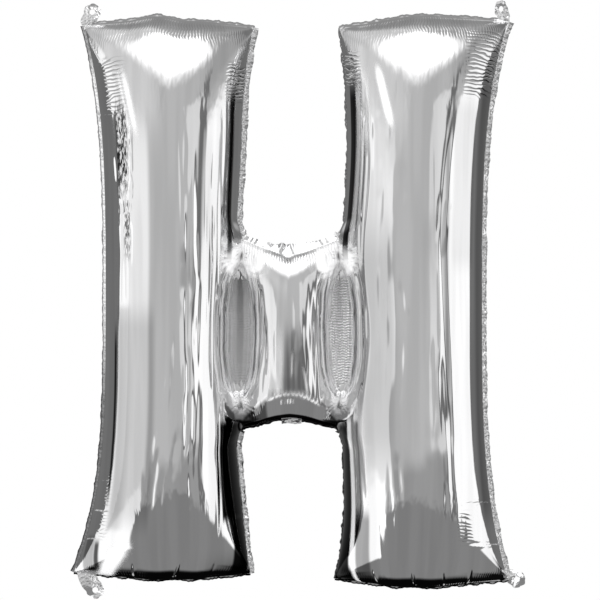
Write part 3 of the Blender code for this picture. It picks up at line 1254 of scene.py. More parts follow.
RIGHT_DETAIL = UprightDetail(
    clusters=(
        RidgeCluster((212, 232), (-140, 290), 16, (80, 260), (1.8, 3.0), 0.6),
        RidgeCluster((160, 200), (60, 290), 22, (40, 140), (2.0, 4.5), 0.32),
        RidgeCluster((190, 225), (-330, -120), 12, (60, 180), (1.8, 3.6), 0.3),
        RidgeCluster((150, 205), (-300, 200), 34, (60, 220), (2.5, 5.0), 0.42),
        RidgeCluster((96, 122), (-330, 150), 18, (80, 240), (1.8, 3.0), 1.0),
        RidgeCluster((112, 200), (-300, -80), 24, (60, 160), (2.0, 4.5), 0.20),
        RidgeCluster((80, 104), (-330, -160), 10, (60, 140), (2.0, 3.5), 0.42),
        RidgeCluster((60, 215), (240, 330), 30, (30, 90), (2.0, 4.0), 0.10),
    ),
    ridges=(
        Ridge(92, -17, -260, 330, 3.2, 0.9, 20),
        Ridge(100, -17, -260, 330, 3.2, -0.6, 20),
        Ridge(77, 0, -430, -366, 1.4, 1.0),
        Ridge(115, 4, -430, -366, 1.4, 1.0),
        Ridge(160, 0, -430, -372, 1.6, 1.2),
        Ridge(218, -4, -430, -366, 1.6, 1.2),
    ),
    zones=(
        Zone(Seam.OUTER, 282, 388, 1.6),
        Zone(Seam.OUTER, -344, -290, 1.8, 98, 70),
        Zone(Seam.INNER, 306, 362, 2.4, 60),
    ),
    creases=(
        EdgeCrease(303, 88, 0.06, 0.9),
        EdgeCrease(-286, 100, 0.05, 1.2),
        EdgeCrease(-348, 92, 0.08, 1.1),
    ),
    # Painted shade: strips darkened where the film mirrors the dark gap, the other upright and the floor
    shades=(
        Strip(Seam.INNER, (-9, 41), (-430, -164), 0.985, (4, 16)),
        Strip(Seam.INNER, (-9, 46), (-440, -372), 0.985, (6, 14)),
        Strip(Seam.INNER, (28, 46), (50, 330), 0.985, (3, 40)),
        Strip(Seam.OUTER, (4, 54), (-330, 330), 0.46, (12, 50)),
        Strip(Seam.OUTER, (-9, 13), (-330, 330), 0.4, (6, 50)),
        Strip(Seam.OUTER, (52, 96), (30, 300), 0.15, (6, 40)),
        Strip(Seam.OUTER, (164, 232), (-270, 150), 0.28, (14, 100)),
        Strip(Seam.OUTER, (97, 106), (-190, 300), 0.45, (4, 60)),
        Strip(Seam.INNER, (50, 78), (-430, -285), 0.62, (5, 24)),
    ),
    hazes=(
        Strip(Seam.INNER, (39, 51), (-430, -155), 0.75, (3, 18)),
        Strip(Seam.INNER, (48, 62), (-320, -135), 0.25, (3, 40)),
        Strip(Seam.INNER, (60, 76), (-310, -135), 0.36, (4, 40)),
        Strip(Seam.INNER, (56, 74), (200, 340), 0.4, (5, 40)),
        Strip(Seam.INNER, (45, 57), (60, 330), 0.35, (3, 40)),
        Strip(Seam.INNER, (2, 40), (-5, 92), 0.3, (12, 30)),
    ),
    streaks=(Ridge(172, 32, 225, 352, 6.0, 1.0),),
)
UPRIGHT_DETAILS = {Hand.LEFT: LEFT_DETAIL, Hand.RIGHT: RIGHT_DETAIL}


@dataclass
class FilmSkin:
    """A stretch of one sheet's film: read densely off the formed sheet, creased and puckered."""

    sheet: Sheet
    lift: float = field(default=0.2 * MM, kw_only=True)

    def skin(self, film: "WeldedFilm", flat: Array, turn: int) -> bpy.types.Object:
        """Crease the film, turn it to its sheet and its hand, and make its mesh.

        Args:
            film: the film beside its weld, on the right of a front sheet.
            flat: the film's places on the flat cut.
            turn: the sign that its x is multiplied by.

        Returns:
            The skin, which keeps the depths of its puckers as attributes.
        """
        place = film.laid()
        outward = grid_normals(place)
        outward *= np.sign(-outward[..., 1].mean())
        fringe = self.fringe(flat, np.degrees(np.arcsin(outward[..., 2])))
        place += outward * (self.creases(flat) * MM)[..., None]
        place[..., 1] = np.minimum(place[..., 1], 0)
        place = bar_shifted(place * (turn, -self.sheet.value, 1))
        place[..., 1] += self.sheet.value * self.lift
        name = self.node.replace("film_", "skin_")
        item = mesh_from_grid(name, place, flat, np.array([0, self.sheet.value, 0]))
        depths = self.pucker_depths(flat)
        for name, more in (("rungs", film.rungs()), ("shade", film.shade()),
                           ("matte", np.maximum(film.matte(), fringe))):
            depths[name] = np.maximum(depths[name], more)
        for name, values in depths.items():
            add_attribute(item, name, values)
        return item

    def fringe(self, flat: Array, tilt: Array) -> Array:
        """White wisps along a roll of the film: none, unless a kind of skin has them."""
        return np.zeros_like(tilt)


@dataclass
class UprightSkin(FilmSkin):
    """One sheet's upright. Its steps and spans are millimetres on the flat cut."""

    hand: Hand
    detail: UprightDetail
    rows: int = 400
    columns: int = 240
    even_heights: tuple[float, float, float] = (-0.25, 0.25, 0.10)
    even_rounds: int = 140
    edge_fade: float = 12.0
    tick_start: Step = (16, 16)
    tick_end: Step = (72, -26)
    top_ripple: Step = (230, 60)
    low_ripple: tuple[float, float, float] = (-330, -240, 30)
    # rim and rim_side place the painted shade along the bottom seam, eased in away from the outer seam
    rim: Step = (10, -7)
    rim_side: Step = (24, 30)
    seed: int = 11

    @property
    def node(self) -> str:
        """The CAD node that this skin stands for."""
        return f"film_{self.sheet.name.lower()}_upright_{self.hand.name.lower()}"

    def build(self, formed: FormedSheet) -> bpy.types.Object:
        """Read the formed upright densely, crease it and make its mesh.

        Args:
            formed: the blown-up sheet.

        Returns:
            The skin.
        """
        points, flat = formed.upright(OUTLINES[self.hand])
        points = relaxed(points, 6)
        share = np.linspace(0, 1, points.shape[1])
        even = window(flat[..., 1], *self.even_heights) * rise(share, 0, 0.3) * rise(share, 1, -0.1)
        points += even[..., None] * (evened(points, self.even_rounds) - points)
        rows = ease_spacing(self.rows, 0.35) * (points.shape[0] - 1)
        columns = ease_spacing(self.columns, 0.35) * (points.shape[1] - 1)
        place = cubic(points, rows, columns)
        flat = cubic(flat, rows, columns)
        film = WeldedFilm(place, np.interp(place[..., 2], place[:, 0, 2], place[:, 0, 0]), 1)
        return self.skin(film, flat, self.hand.value)

    def creases(self, flat: Array) -> Array:
        """Height of all folds, in millimetres, eased away at the seams.

        Args:
            flat: places on the flat cut.

        Returns:
            The height.
        """
        at = FlatPlaces.measured(flat)
        chance = np.random.default_rng(self.seed + 7 * self.hand.value + 3 * self.sheet.value)
        ridges = list(self.detail.ridges)
        for cluster in self.detail.clusters:
            ridges += cluster.ridges(chance)
        height = sum(ridge.height(at.outer, at.along) for ridge in ridges)
        height = height + sum(crease.fold(at.outer, at.along) for crease in self.detail.creases)
        return height * smoothstep(np.minimum(at.side, np.minimum(at.top, at.bottom)) / self.edge_fade)

    def pucker_depths(self, flat: Array) -> dict[str, Array]:
        """How deep the fine puckers run at each point, for the finish.

        Args:
            flat: places on the flat cut.

        Returns:
            Each attribute's name and values.
        """
        at = FlatPlaces.measured(flat)
        # Painted shade: the strips and a dark rim along the bottom seam, for the dark floor that the film
        # mirrors there
        shade = 1 - self.light(at, self.detail.shades) * (
            1 - 0.97 * rise(at.bottom, *self.rim) * rise(at.outer, *self.rim_side))
        return {"rungs": sum(zone.pleats(at) for zone in self.detail.zones), "ticks": self.ticks(at),
                "lines": 0.35 + 0.65 * rise(at.side, 110, -60), "ripple": self.ripple(at),
                "shade": shade, "mottle": 1 - self.light(at, self.detail.painted_mottles),
                "matte": self.matte(at)}

    def ticks(self, at: FlatPlaces) -> Array:
        """Puckers across the end seams: a band off each end, narrower and weaker at the bottom.

        Args:
            at: the film's places.

        Returns:
            The depth.
        """
        end = np.minimum(at.top, at.bottom * 1.6)
        ticks = rise(end, *self.tick_end) * rise(end, *self.tick_start)
        return ticks * np.where(at.bottom < at.top, 0.35, 1) * smoothstep(at.side / 25)

    def ripple(self, at: FlatPlaces) -> Array:
        """Ripples: towards the top, in a band low down, and where the film is crumpled.

        Args:
            at: the film's places.

        Returns:
            The depth.
        """
        top = rise(at.along, *self.top_ripple) * rise(at.side, 30, 40)
        low = 1.2 * window(at.along, *self.low_ripple) * rise(at.side, 60, 30)
        return top + low + sum(strip.strength(at) for strip in self.detail.crumples)

    def matte(self, at: FlatPlaces) -> Array:
        """How matte the film is: the hazes added up, or a streak where it is stronger.

        Args:
            at: the film's places.

        Returns:
            0 for a mirror, up to 1 for white.
        """
        matte = sum((haze.strength(at) for haze in self.detail.hazes), np.zeros_like(at.along))
        for streak in self.detail.streaks:
            matte = np.maximum(matte, 0.95 * rise(streak.height(at.outer, at.along), 0.1, 0.7))
        return matte

    @staticmethod
    def light(at: FlatPlaces, strips: tuple[Strip, ...]) -> Array:
        """How much colour is left when each strip has taken its share of painted shade.

        Args:
            at: the film's places.
            strips: what takes light.

        Returns:
            The light that is left.
        """
        light = np.ones_like(at.along)
        for strip in strips:
            light *= 1 - strip.strength(at)
        return light


@dataclass
class CrossbarSkin(FilmSkin):
    """One sheet's crossbar. Its steps and spans are millimetres on the flat cut.

    The band is the dark strip above its lower seam, below which the film rolls in.
    """

    rows: int = 190
    columns: int = 120
    clusters: tuple[RidgeCluster, ...] = (
        RidgeCluster((-80, 80), (-120, 30), 70, (60, 190), (1.6, 3.6), 0.6),
        RidgeCluster((-6, 26), (-130, -50), 10, (40, 90), (1.8, 2.8), 1.0),
        RidgeCluster((-60, -30), (-120, 0), 10, (60, 150), (1.8, 3.0), 1.0),
    )
    slashes: tuple[Ridge, ...] = (Ridge(2, 2, -106, -62, 1.3, 0.9), Ridge(25, -8, -128, -82, 1.7, 0.9))
    band: Step = (56, 12)
    dip_fold: float = 2.2
    roll_share: float = 0.05
    wisp_tilt: float = -9.2
    wisp_span: tuple[float, float, float] = (-34, 46, 9)
    tick_tilts: tuple[float, float, float] = (-22, -12, 3)
    tick_span: tuple[float, float, float] = (-14, 6, 3)
    pale_span: tuple[float, float, float] = (-31, -8, 3)
    # corner_span is where the band's left corner gets painted shade
    corner_span: tuple[float, float, float] = (-62, -31, 5)
    seed: int = 5

    @property
    def node(self) -> str:
        """The CAD node that this skin stands for."""
        return f"film_{self.sheet.name.lower()}_crossbar"

    def build(self, formed: FormedSheet) -> bpy.types.Object:
        """Read the formed crossbar densely, crease it and make its mesh.

        Args:
            formed: the blown-up sheet.

        Returns:
            The skin.
        """
        points, flat = formed.crossbar()
        points = relaxed(points, 4)
        rows = ease_spacing(self.rows, 0.35) * (points.shape[0] - 1)
        columns = ease_spacing(self.columns, 0.3) * (points.shape[1] - 1)
        place = cubic(points, rows, columns)
        place[..., 1] = cubic(points, rows + self.roll(rows), columns)[..., 1]
        film = WeldedFilm(place, np.interp(place[..., 2], place[:, -1, 2], place[:, -1, 0]), -1)
        return self.skin(film, cubic(flat, rows, columns), 1)

    @staticmethod
    def places(flat: Array) -> tuple[Array, Array, Array, Array, Array]:
        """Millimetres on the flat cut: across, along, and off the bottom, the top and the side.

        Args:
            flat: places on the flat cut.

        Returns:
            The five distances.
        """
        across, along = flat[..., 0] / MM, flat[..., 1] / MM
        side = np.abs(flat[:, -1:, 0] / MM) - np.abs(across)
        return across, along, along - along[:1], along[-1:] - along, side

    def roll(self, rows: Array) -> Array:
        """How many rows further up the depth is read, so that the film rolls in tightly below.

        Args:
            rows: where the film is read.

        Returns:
            The shift, in rows.
        """
        share = rows / rows[-1]
        shift = self.roll_share * rows[-1] * (1 - np.exp(-share / self.roll_share))
        return shift * rise(share, 0.5, -0.35)

    def fringe(self, flat: Array, tilt: Array) -> Array:
        """White wisps and ticks where the film rolls in below.

        Wisps are bells on how far the film faces down, reaching further where a wave of three
        sines is high. Ticks are crests of one sine, in the middle of the band.

        Args:
            flat: places on the flat cut.
            tilt: how far the film faces up, in degrees.

        Returns:
            How matte the film is.
        """
        across, _, bottom, _, _ = self.places(flat)
        wave = np.sin(0.55 * across) + 0.8 * np.sin(1.13 * across + 1) + 0.6 * np.sin(2.3 * across)
        wave = np.clip(wave, 0, None)
        low = rise(bottom, 70, -20)
        wisps = 0.9 * low * bell(tilt, self.wisp_tilt + 1.6 * wave, 1.2 + 0.6 * wave)
        ticks = rise(np.sin(1.9 * across), 0.2, 0.5) * window(across, *self.tick_span)
        ticks = 0.8 * ticks * window(tilt, *self.tick_tilts) * low
        return np.maximum(wisps * window(across, *self.wisp_span), ticks)

    def creases(self, flat: Array) -> Array:
        """Height of the folds that run up the crossbar and of the dip below its V, in millimetres.

        Args:
            flat: places on the flat cut.

        Returns:
            The height.
        """
        across, along, bottom, top, side = self.places(flat)
        chance = np.random.default_rng(self.seed + self.sheet.value)
        ridges = sum((cluster.ridges(chance) for cluster in self.clusters), [])
        height = sum(ridge.height(across, along) for ridge in ridges)
        height = height * smoothstep(np.minimum(bottom, top) / 25) * smoothstep(side / 14)
        dip = bell(across, -3, 3 + 0.25 * top) * rise(top, 42, -24)
        return height - self.dip_fold * dip * smoothstep(top / 12)

    def pucker_depths(self, flat: Array) -> dict[str, Array]:
        """How deep the fine puckers run at each point, for the finish.

        Args:
            flat: places on the flat cut.

        Returns:
            Each attribute's name and values.
        """
        across, along, bottom, top, side = self.places(flat)
        end = np.minimum(bottom, top)
        ticks = rise(end, 55, -25) * smoothstep(end / 8)
        above = rise(bottom, *self.band)
        crown = (0.3 + 0.5 * rise(np.abs(across), 24, 20)) * rise(top, 30, -16)
        pale = 0.28 * window(across, *self.pale_span) * rise(along, -20, -50) * above
        slashes = sum(slash.height(across, along) for slash in self.slashes)
        return {"rungs": 0.5 * rise(side, 26, -12) * rise(side, 8, 6),
                "ticks": np.where(top < bottom, 1.5, 0.2) * ticks, "lines": np.ones_like(along),
                "ripple": 0.3 + 3.0 * rise(top, 30, -15), "mottle": np.zeros_like(along),
                "shade": self.shade(across, along, bottom, above), "matte": crown + pale + slashes}

    def shade(self, across: Array, along: Array, bottom: Array, above: Array) -> Array:
        """How much painted shade darkens the film: dim above the band, dark in the band's left corner and
        along the rim.

        Args:
            across: place across.
            along: height.
            bottom: distance off the lower seam.
            above: 1 above the band and 0 in it.

        Returns:
            The darkest of the three.
        """
        # Painted shade for dark reflections on the crossbar's front, its left corner and its rim
        dim = rise(across, -9, 3) * rise(across, 27, -8) * rise(along, -16, -60) * above
        dim = dim * (0.5 + 0.08 * np.sin(0.9 * across + 0.03 * along) + 0.05 * np.sin(0.37 * across + 2))
        slant = 60 + 0.9 * (across - self.corner_span[1])
        corner = 0.7 * window(across, *self.corner_span) * rise(bottom, slant, -7)
        rim = 0.97 * rise(bottom, 15 + 7 * rise(np.abs(across), 14, 10), -5)
        return np.maximum(np.maximum(dim, corner), rim)


def bar_shifted(place: Array) -> Array:
    """Move the crossbar and what lies beside it a little to the left, as it sits in the photo.

    Args:
        place: (..., 3) points.

    Returns:
        The points, moved.
    """
    x, z = place[..., 0], place[..., 2]
    share = smoothstep((0.17 - np.abs(x)) / 0.09) * smoothstep((0.24 - z) / 0.19)
    share = share * smoothstep((z + 0.33) / 0.16)
    return np.stack([x - 7 * MM * share, place[..., 1], z], axis=-1)


@dataclass
class WeldedFilm:
    """Film beside a lens weld: laid flat on it, folded along its edge and fanned at its tips.

    A fold is its distance off the weld, its width and its height, in millimetres. Lines are the
    same, with how much painted shade or how white they are for a height.
    """

    place: Array
    weld_x: Array
    side: int
    folds: tuple[Factors, ...] = ((3.0, 1.5, 1.2), (7.0, 1.6, -1.1), (11.5, 1.8, 1.2), (16.0, 2.0, -0.7))
    painted_shade_lines: tuple[Factors, ...] = ((7.5, 1.6, 1.0), (14.0, 1.5, 0.8))
    white_lines: tuple[Factors, ...] = ((2.6, 1.1, 0.8), (11.0, 1.4, 0.45))
    fan_height: float = 0.9

    def __post_init__(self) -> None:
        """Measure the distances off the weld's edge and from its nearer tip, in millimetres."""
        z = self.place[..., 2]
        across = np.abs(self.place[..., 0]) - self.weld_x
        self.off = (self.side * across - weld_half_width(z)) / MM
        self.near = window(z, LensWeld.low - 4 * MM, LensWeld.high + 4 * MM, 30 * MM)
        self.high = z > LensWeld.middle
        tip = np.where(self.high, z - LensWeld.high, z - LensWeld.low)
        self.far = np.hypot(across, tip) / MM
        self.aside = np.abs(across) / MM
        self.above = np.where(self.high, tip, -tip) / MM
        turn = np.arctan2(tip, across)
        self.fan = np.abs(np.sin(5 * turn + 0.18 * self.far + 2 * np.sin(3 * turn)))

    def lines(self, lines: tuple[Factors, ...]) -> Array:
        """Bells off the weld's edge, added up."""
        return sum(height * bell(self.off, middle, width) for middle, width, height in lines)

    def laid(self) -> Array:
        """The film's points, eased down to the weld and folded.

        Returns:
            The points.
        """
        z = self.place[..., 2]
        near = window(z, LensWeld.low, LensWeld.high, 10 * MM)
        ease = 1 - near * (1 - smoothstep(self.off / 4.5))
        height = self.fan_height * self.fan * smoothstep(self.far / 6) * rise(self.far, 30, -18)
        height += self.lines(self.folds) * self.near
        return np.stack([self.place[..., 0], self.place[..., 1] * ease - height * MM, z], axis=-1)

    def shade(self) -> Array:
        """How much painted shade darkens the film in the folds beside the weld and in the blade off each
        tip.

        Returns:
            The shade, 0 to 1.
        """
        # Painted shade: dark lines in the folds and a dark blade off each tip, for dark creases mirrored
        # there
        blade = bell(self.aside, 0, 2.0) * window(self.above, 0, 18, 8)
        folds = self.lines(self.painted_shade_lines) * self.near * rise(self.far, 26, 24)
        return np.maximum(0.62 * folds, 0.8 * blade)

    def matte(self) -> Array:
        """How white the crumpled film is: a fan round each tip, wider at the top, and the folds.

        Returns:
            0 for a mirror, up to 1 for white.
        """
        spread = self.far - 0.3 * np.clip(self.above, -40, 0)
        reach = np.where(self.high, 36 - 7 * self.side + 9 * self.fan, 15)
        tips = (0.75 + 0.25 * self.fan) * rise(spread, reach, -np.where(self.high, 20, 10))
        tips = tips * rise(self.above, -np.where(self.high, 38, 6), np.where(self.high, 30, 6))
        return np.maximum(tips, self.lines(self.white_lines) * self.near * rise(self.far, 10, 12))

    def rungs(self) -> Array:
        """How deep the short puckers are on both sides of the tips."""
        return 1.6 * window(self.aside, 3, 9, 3) * window(self.above, -2, 20, 8)


def weld_half_width(z: Array) -> Array:
    """Half the width of a lens weld at height z."""
    reach = np.abs(z - LensWeld.middle) / LensWeld.half_height
    return LensWeld.half_width * np.clip(1 - reach**3, 0, None)


def add_attribute(item: bpy.types.Object, name: str, values: Array) -> None:
    """Keep a number for each vertex on a piece, for its finish to read."""
    layer = item.data.attributes.new(name, "FLOAT", "POINT")
    layer.data.foreach_set("value", values.astype(np.float32).ravel())


def walked_section(low: float, count: int) -> tuple[Array, Array]:
    """A flat section walked round once: places from low to 1 and back, and their side, -1 then 1."""
    places = np.concatenate([np.linspace(low, 1, count), np.linspace(1, low, count)])
    return places, np.repeat((-1.0, 1.0), count)


def closed_ribbon(name: str, points: Array, uv: Array, ring: bool = False) -> bpy.types.Object:
    """A closed solid from a grid whose columns go once round its section.

    Args:
        name: the object's name.
        points: (stations, places round the section, 3).
        uv: (stations, places round the section, 2).
        ring: whether the last station joins the first one.

    Returns:
        The new object. Without ring its two ends are capped by folding the section flat.
    """
    stations, around = points.shape[:2]
    index = np.arange(stations * around).reshape(stations, around)
    rows = np.concatenate([index, index[:1]]) if ring else index
    quads = grid_quads(np.concatenate([rows, rows[:, :1]], axis=1))[..., [0, 3, 2, 1]].reshape(-1, 4)
    for end, turn in () if ring else ((0, 1), (-1, -1)):
        one, other = index[end, :around // 2], index[end, around // 2:][::-1]
        cap = np.stack([one[:-1], one[1:], other[1:], other[:-1]], axis=-1)
        quads = np.concatenate([quads, cap[:, ::turn]])
    places = points.reshape(-1, 3)
    corners = places[quads]
    area = np.cross(corners[:, 2] - corners[:, 0], corners[:, 3] - corners[:, 1])
    if (area * corners.mean(axis=1)).sum() < 0:
        quads = quads[:, ::-1]
    return mesh_from_faces(name, places, quads, uv.reshape(-1, 2), True)


def smooth_noise(count: int, pitch: float, chance: np.random.Generator) -> Array:
    """A wandering line through random heights, one knot every pitch of the count."""
    knots = chance.uniform(-1, 1, max(4, int(count / pitch) + 3))
    return cubic_rows(knots[:, None], np.linspace(0, len(knots) - 1.001, count))[:, 0]


@dataclass
class Margin:
    """The welded margin outside one seam: a narrow ribbon of film, curled back and crinkled."""

    name: str
    seam: Array
    outward: Array
    curl: float
    ripple: float
    seed: int
    width: float = 6.5 * MM
    thickness: float = 0.12 * MM
    step: float = 0.9 * MM
    inset: float = 1.0 * MM
    lean_pitches: Span = (9, 3.2)
    width_pitches: Span = (16, 3)
    section: int = 6
    extra: Array | None = None
    # edge, dim and end_dims are painted shade: on the free edge, all over, and towards the ends
    edge: float = 0.0
    dim: float = 0.0
    end_dims: Span = (0.0, 0.0)
    low_end: Step = (0.03, -0.2)
    high_end: Step = (0.31, 0.05)

    def build(self) -> bpy.types.Object:
        """Sweep the ribbon along the seam.

        Its section leans back by the curl and ripples along the seam, and its free edge wanders.

        Returns:
            The ribbon.
        """
        chance = np.random.default_rng(self.seed)
        steps = np.linalg.norm(np.diff(self.seam, axis=0), axis=1)
        length = np.concatenate([[0], np.cumsum(steps)])
        count = max(12, int(length[-1] / self.step))
        at = np.linspace(0, length[-1], count)
        line, out = (np.stack([np.interp(at, length, column) for column in run.T], axis=-1)
                     for run in (self.seam, self.outward))
        out /= np.linalg.norm(out, axis=1, keepdims=True)
        slow, fast = (smooth_noise(count, pitch, chance) for pitch in self.lean_pitches)
        lean = self.curl + self.ripple * slow
        lean += 0.6 * self.ripple * fast
        slow, fast = (smooth_noise(count, pitch, chance) for pitch in self.width_pitches)
        width = self.width * (1 + 0.12 * slow) * (1 + 0.06 * fast)
        if self.extra is not None:
            width += np.interp(at, length, self.extra)
        reach, side = walked_section(0, self.section)
        back = np.array([0, 1.0, 0])
        span = reach[None, :] * (width + self.inset)[:, None] - self.inset
        bend = lean[:, None] * (0.85 + 0.15 * np.clip(span / self.width, 0, None))
        points = line[:, None] + (span * np.cos(bend))[..., None] * out[:, None]
        points = points + (span * np.sin(bend))[..., None] * back
        normal = np.cos(bend)[..., None] * back - np.sin(bend)[..., None] * out[:, None]
        points = points + (side * self.thickness / 2)[None, :, None] * normal
        uv = np.stack(np.broadcast_arrays(at[:, None], span), axis=-1)
        item = closed_ribbon(self.name, points, uv)
        add_attribute(item, "shade", self.shade(line[:, 2], span / width[:, None]))
        return item

    def shade(self, z: Array, reach: Array) -> Array:
        """How much painted shade darkens the ribbon: along its free edge, all over, or towards its lower
        or upper end.

        Args:
            z: height of each station.
            reach: how far out each point is, as a share of the width.

        Returns:
            The shade.
        """
        low, high = self.end_dims
        ends = low * rise(z, *self.low_end) + high * rise(z, *self.high_end)
        dim = np.maximum(self.dim, ends)[:, None]
        return 1 - (1 - dim) * (1 - self.edge * rise(reach, 0.5, 0.2))


@dataclass
class Margins:
    """All ribbons round the letter, each for one seam of the CAD."""

    top_curl: float = 1.0
    bottom_curl: float = 1.1
    outer_curls: Span = (0.5, 0.35)
    inner_curls: Span = (0.4, 1.35)
    # edge, dim and end_dims here set each ribbon's painted shade
    plain: dict[str, object] = field(default_factory=lambda: {"edge": 0.2})
    shapes: dict[str, dict[str, object]] = field(default_factory=lambda: {
        "seam_outer_left": {"width": 5.2 * MM, "edge": 0.75, "end_dims": (0.75, 0.6)},
        "seam_inner_lower_right": {"dim": 0.9},
        "seam_inner_upper_right": {"edge": 0.2, "dim": 0.3},
    })

    def build(self, formed: FormedSheet) -> list[tuple[bpy.types.Object, str]]:
        """Sweep a ribbon along every seam.

        Args:
            formed: the blown-up sheet, whose edges the ribbons follow.

        Returns:
            Each ribbon and the CAD node that it stands for.
        """
        made = []
        low = formed.grid.low_rows
        high = low + formed.grid.bar_rows
        for hand, outer_curl, inner_curl in zip(Hand, self.outer_curls, self.inner_curls):
            points, _ = formed.upright(OUTLINES[hand])
            runs = {
                "outer": (points[:, -1], (1, 0), outer_curl, 0.14),
                "top": (points[-1], (0, 1), self.top_curl, 0.16),
                "bottom": (points[0], (0, -1), self.bottom_curl, 0.16),
                "inner_lower": (points[:low + 1, 0], (-1, 0), inner_curl, 0.2),
                "inner_upper": (points[high:, 0], (-1, 0), inner_curl, 0.2),
            }
            for number, (run, (line, way, curl, ripple)) in enumerate(runs.items()):
                node = f"seam_{run}_{hand.name.lower()}"
                seam = line * (hand.value, 0, 1)
                toward = np.array([way[0] * hand.value, 0, way[1]])
                shape = self.shapes.get(node, self.plain)
                made.append((self.ribbon(node, seam, toward, curl, ripple, number, **shape), node))
        points, _ = formed.crossbar()
        top, bottom = points[-1], points[0]
        # The bottom ribbon's dim is painted shade
        for node, line, way, curl, ripple, shape in (
                ("seam_crossbar_top", top, 1, 0.40, 0.17, {"extra": formed.bar_dip(top[:, 0])}),
                ("seam_crossbar_bottom", bottom, -1, 1.12, 0.14, {"dim": 0.9})):
            toward = np.array([0, 0, way])
            made.append((self.ribbon(node, line * (1, 0, 1), toward, curl, ripple, 9, **shape), node))
        return made

    @staticmethod
    def ribbon(node: str, line: Array, toward: Array, curl: float, ripple: float,
               seed: int, **shape: object) -> bpy.types.Object:
        """One ribbon, its outward direction square to the seam in the letter's plane.

        Args:
            node: the CAD node that it stands for.
            line: the seam's points, before the crossbar is moved.
            toward: a direction out of the letter.
            curl: how far it leans back, in radians.
            ripple: how much that varies.
            seed: the number that its chance starts from.
            shape: other fields of Margin.

        Returns:
            The ribbon.
        """
        seam = bar_shifted(line)
        run = np.gradient(seam, axis=0)
        square = np.stack([run[:, 2], np.zeros(len(run)), -run[:, 0]], axis=-1)
        square *= np.sign(square @ toward)[:, None]
        name = node.replace("seam_", "margin_")
        return Margin(name, seam, square, curl, ripple, seed + 3, **shape).build()


@dataclass
class LensWeld:
    """A lens-shaped weld where the crossbar meets an upright: both sheets pressed into one.

    It bulges a little, is corrugated in waves across, and has a core and thin lines towards its edges
    darkened by painted shade.
    """

    hand: Hand
    corrugation: float
    waves: float
    core_painted_shade: float
    edge_bulge: float = 0.25 * MM
    bulge: float = 0.4 * MM
    stations: int = 120
    section: int = 14
    middle = -0.0395
    half_height = 0.0955
    half_width = 0.0142
    low = middle - half_height
    high = middle + half_height

    def build(self, formed: FormedSheet) -> bpy.types.Object:
        """Make the weld as a closed thin lens on the line where crossbar and upright meet.

        Args:
            formed: the blown-up sheet.

        Returns:
            The weld.
        """
        points, _ = formed.crossbar()
        t = (1 - np.cos(np.linspace(0.02, math.pi - 0.02, self.stations))) / 2
        z = self.low + (self.high - self.low) * t
        line = np.interp(z, points[:, -1, 2], points[:, -1, 0]) * self.hand.value
        half = weld_half_width(z) * 1.02
        across, side = walked_section(-1, self.section)
        x = line[:, None] + half[:, None] * across
        round_off = np.sqrt(1 - (2 * t[:, None] - 1) ** 2)
        bulge = self.edge_bulge + self.bulge * (1 - across**4) * round_off
        ribs = self.corrugation * np.cos(self.waves * math.pi * across)
        bulge = bulge + ribs * (1 - across**4) * round_off
        place = np.stack([x, side * bulge, np.broadcast_to(z[:, None], x.shape)], axis=-1)
        item = closed_ribbon(f"weld_{self.hand.name.lower()}", bar_shifted(place), place[..., (0, 2)])
        aside = np.abs(across)
        # Painted shade: a dark core, strongest towards the top, and thin dark lines towards the edges, for
        # dark reflections
        core_painted_shade = self.core_painted_shade * (1 - rise(aside, 0.25, 0.25)) * rise(t[:, None], -0.3, 1.2)
        rib = 0.35 * bell(aside, 0.62, 0.07) + 0.2 * bell(aside, 0.97, 0.06)
        add_attribute(item, "shade", 1 - (1 - core_painted_shade) * (1 - rib))
        return item


@dataclass
class HangingTab:
    """A punched tab at one of the letter's outer corners, crumpled by handling."""

    node: str
    hole: tuple[float, float]
    corner: tuple[float, float]
    squash: float = 1.0
    seed: int = 1
    hole_radius: float = 4.0 * MM
    radius: float = 12.0 * MM
    thickness: float = 0.15 * MM
    folds: int = 9
    around: int = 96
    section: int = 16

    def build(self) -> bpy.types.Object:
        """Make the tab round its hole, drawn out towards the corner that it hangs from.

        Returns:
            The tab.
        """
        chance = np.random.default_rng(self.seed)
        turn = np.linspace(0, 2 * math.pi, self.around + 1)[:-1]
        to_corner = np.array(self.corner) - np.array(self.hole)
        far = np.linalg.norm(to_corner)
        facing = np.clip(np.cos(turn - math.atan2(to_corner[1], to_corner[0])), 0, 1)
        rim = self.radius + (far - self.radius) * facing**4
        rim = rim * (1 + 0.05 * np.sin(5 * turn + self.seed) + 0.03 * np.sin(9 * turn))
        reach, side = walked_section(0, self.section)
        radius = self.hole_radius + (rim[:, None] - self.hole_radius) * reach
        x = radius * np.cos(turn)[:, None]
        z = radius * np.sin(turn)[:, None]
        y = self.crumple(x, z, chance) * rise(radius / far, 1.3, -1) + side * self.thickness / 2
        place = np.stack([x * self.squash + self.hole[0], y, z + self.hole[1]], axis=-1)
        name = self.node.replace("tab_", "hanger_")
        return closed_ribbon(name, place, place[..., (0, 2)], True)

    def crumple(self, x: Array, z: Array, chance: np.random.Generator) -> Array:
        """Folds in several directions: each is the distance to a line, so it has a sharp crest.

        Args:
            x: place across, from the hole.
            z: place up, from the hole.
            chance: where the folds come from.

        Returns:
            Height of the folds.
        """
        height = np.zeros_like(x)
        for _ in range(self.folds):
            angle = chance.uniform(0, math.pi)
            offset = chance.uniform(-8, 8) * MM
            along = x * math.cos(angle) + z * math.sin(angle)
            height += chance.uniform(-0.35, 0.35) * np.abs(along - offset)
        return height - height.mean()


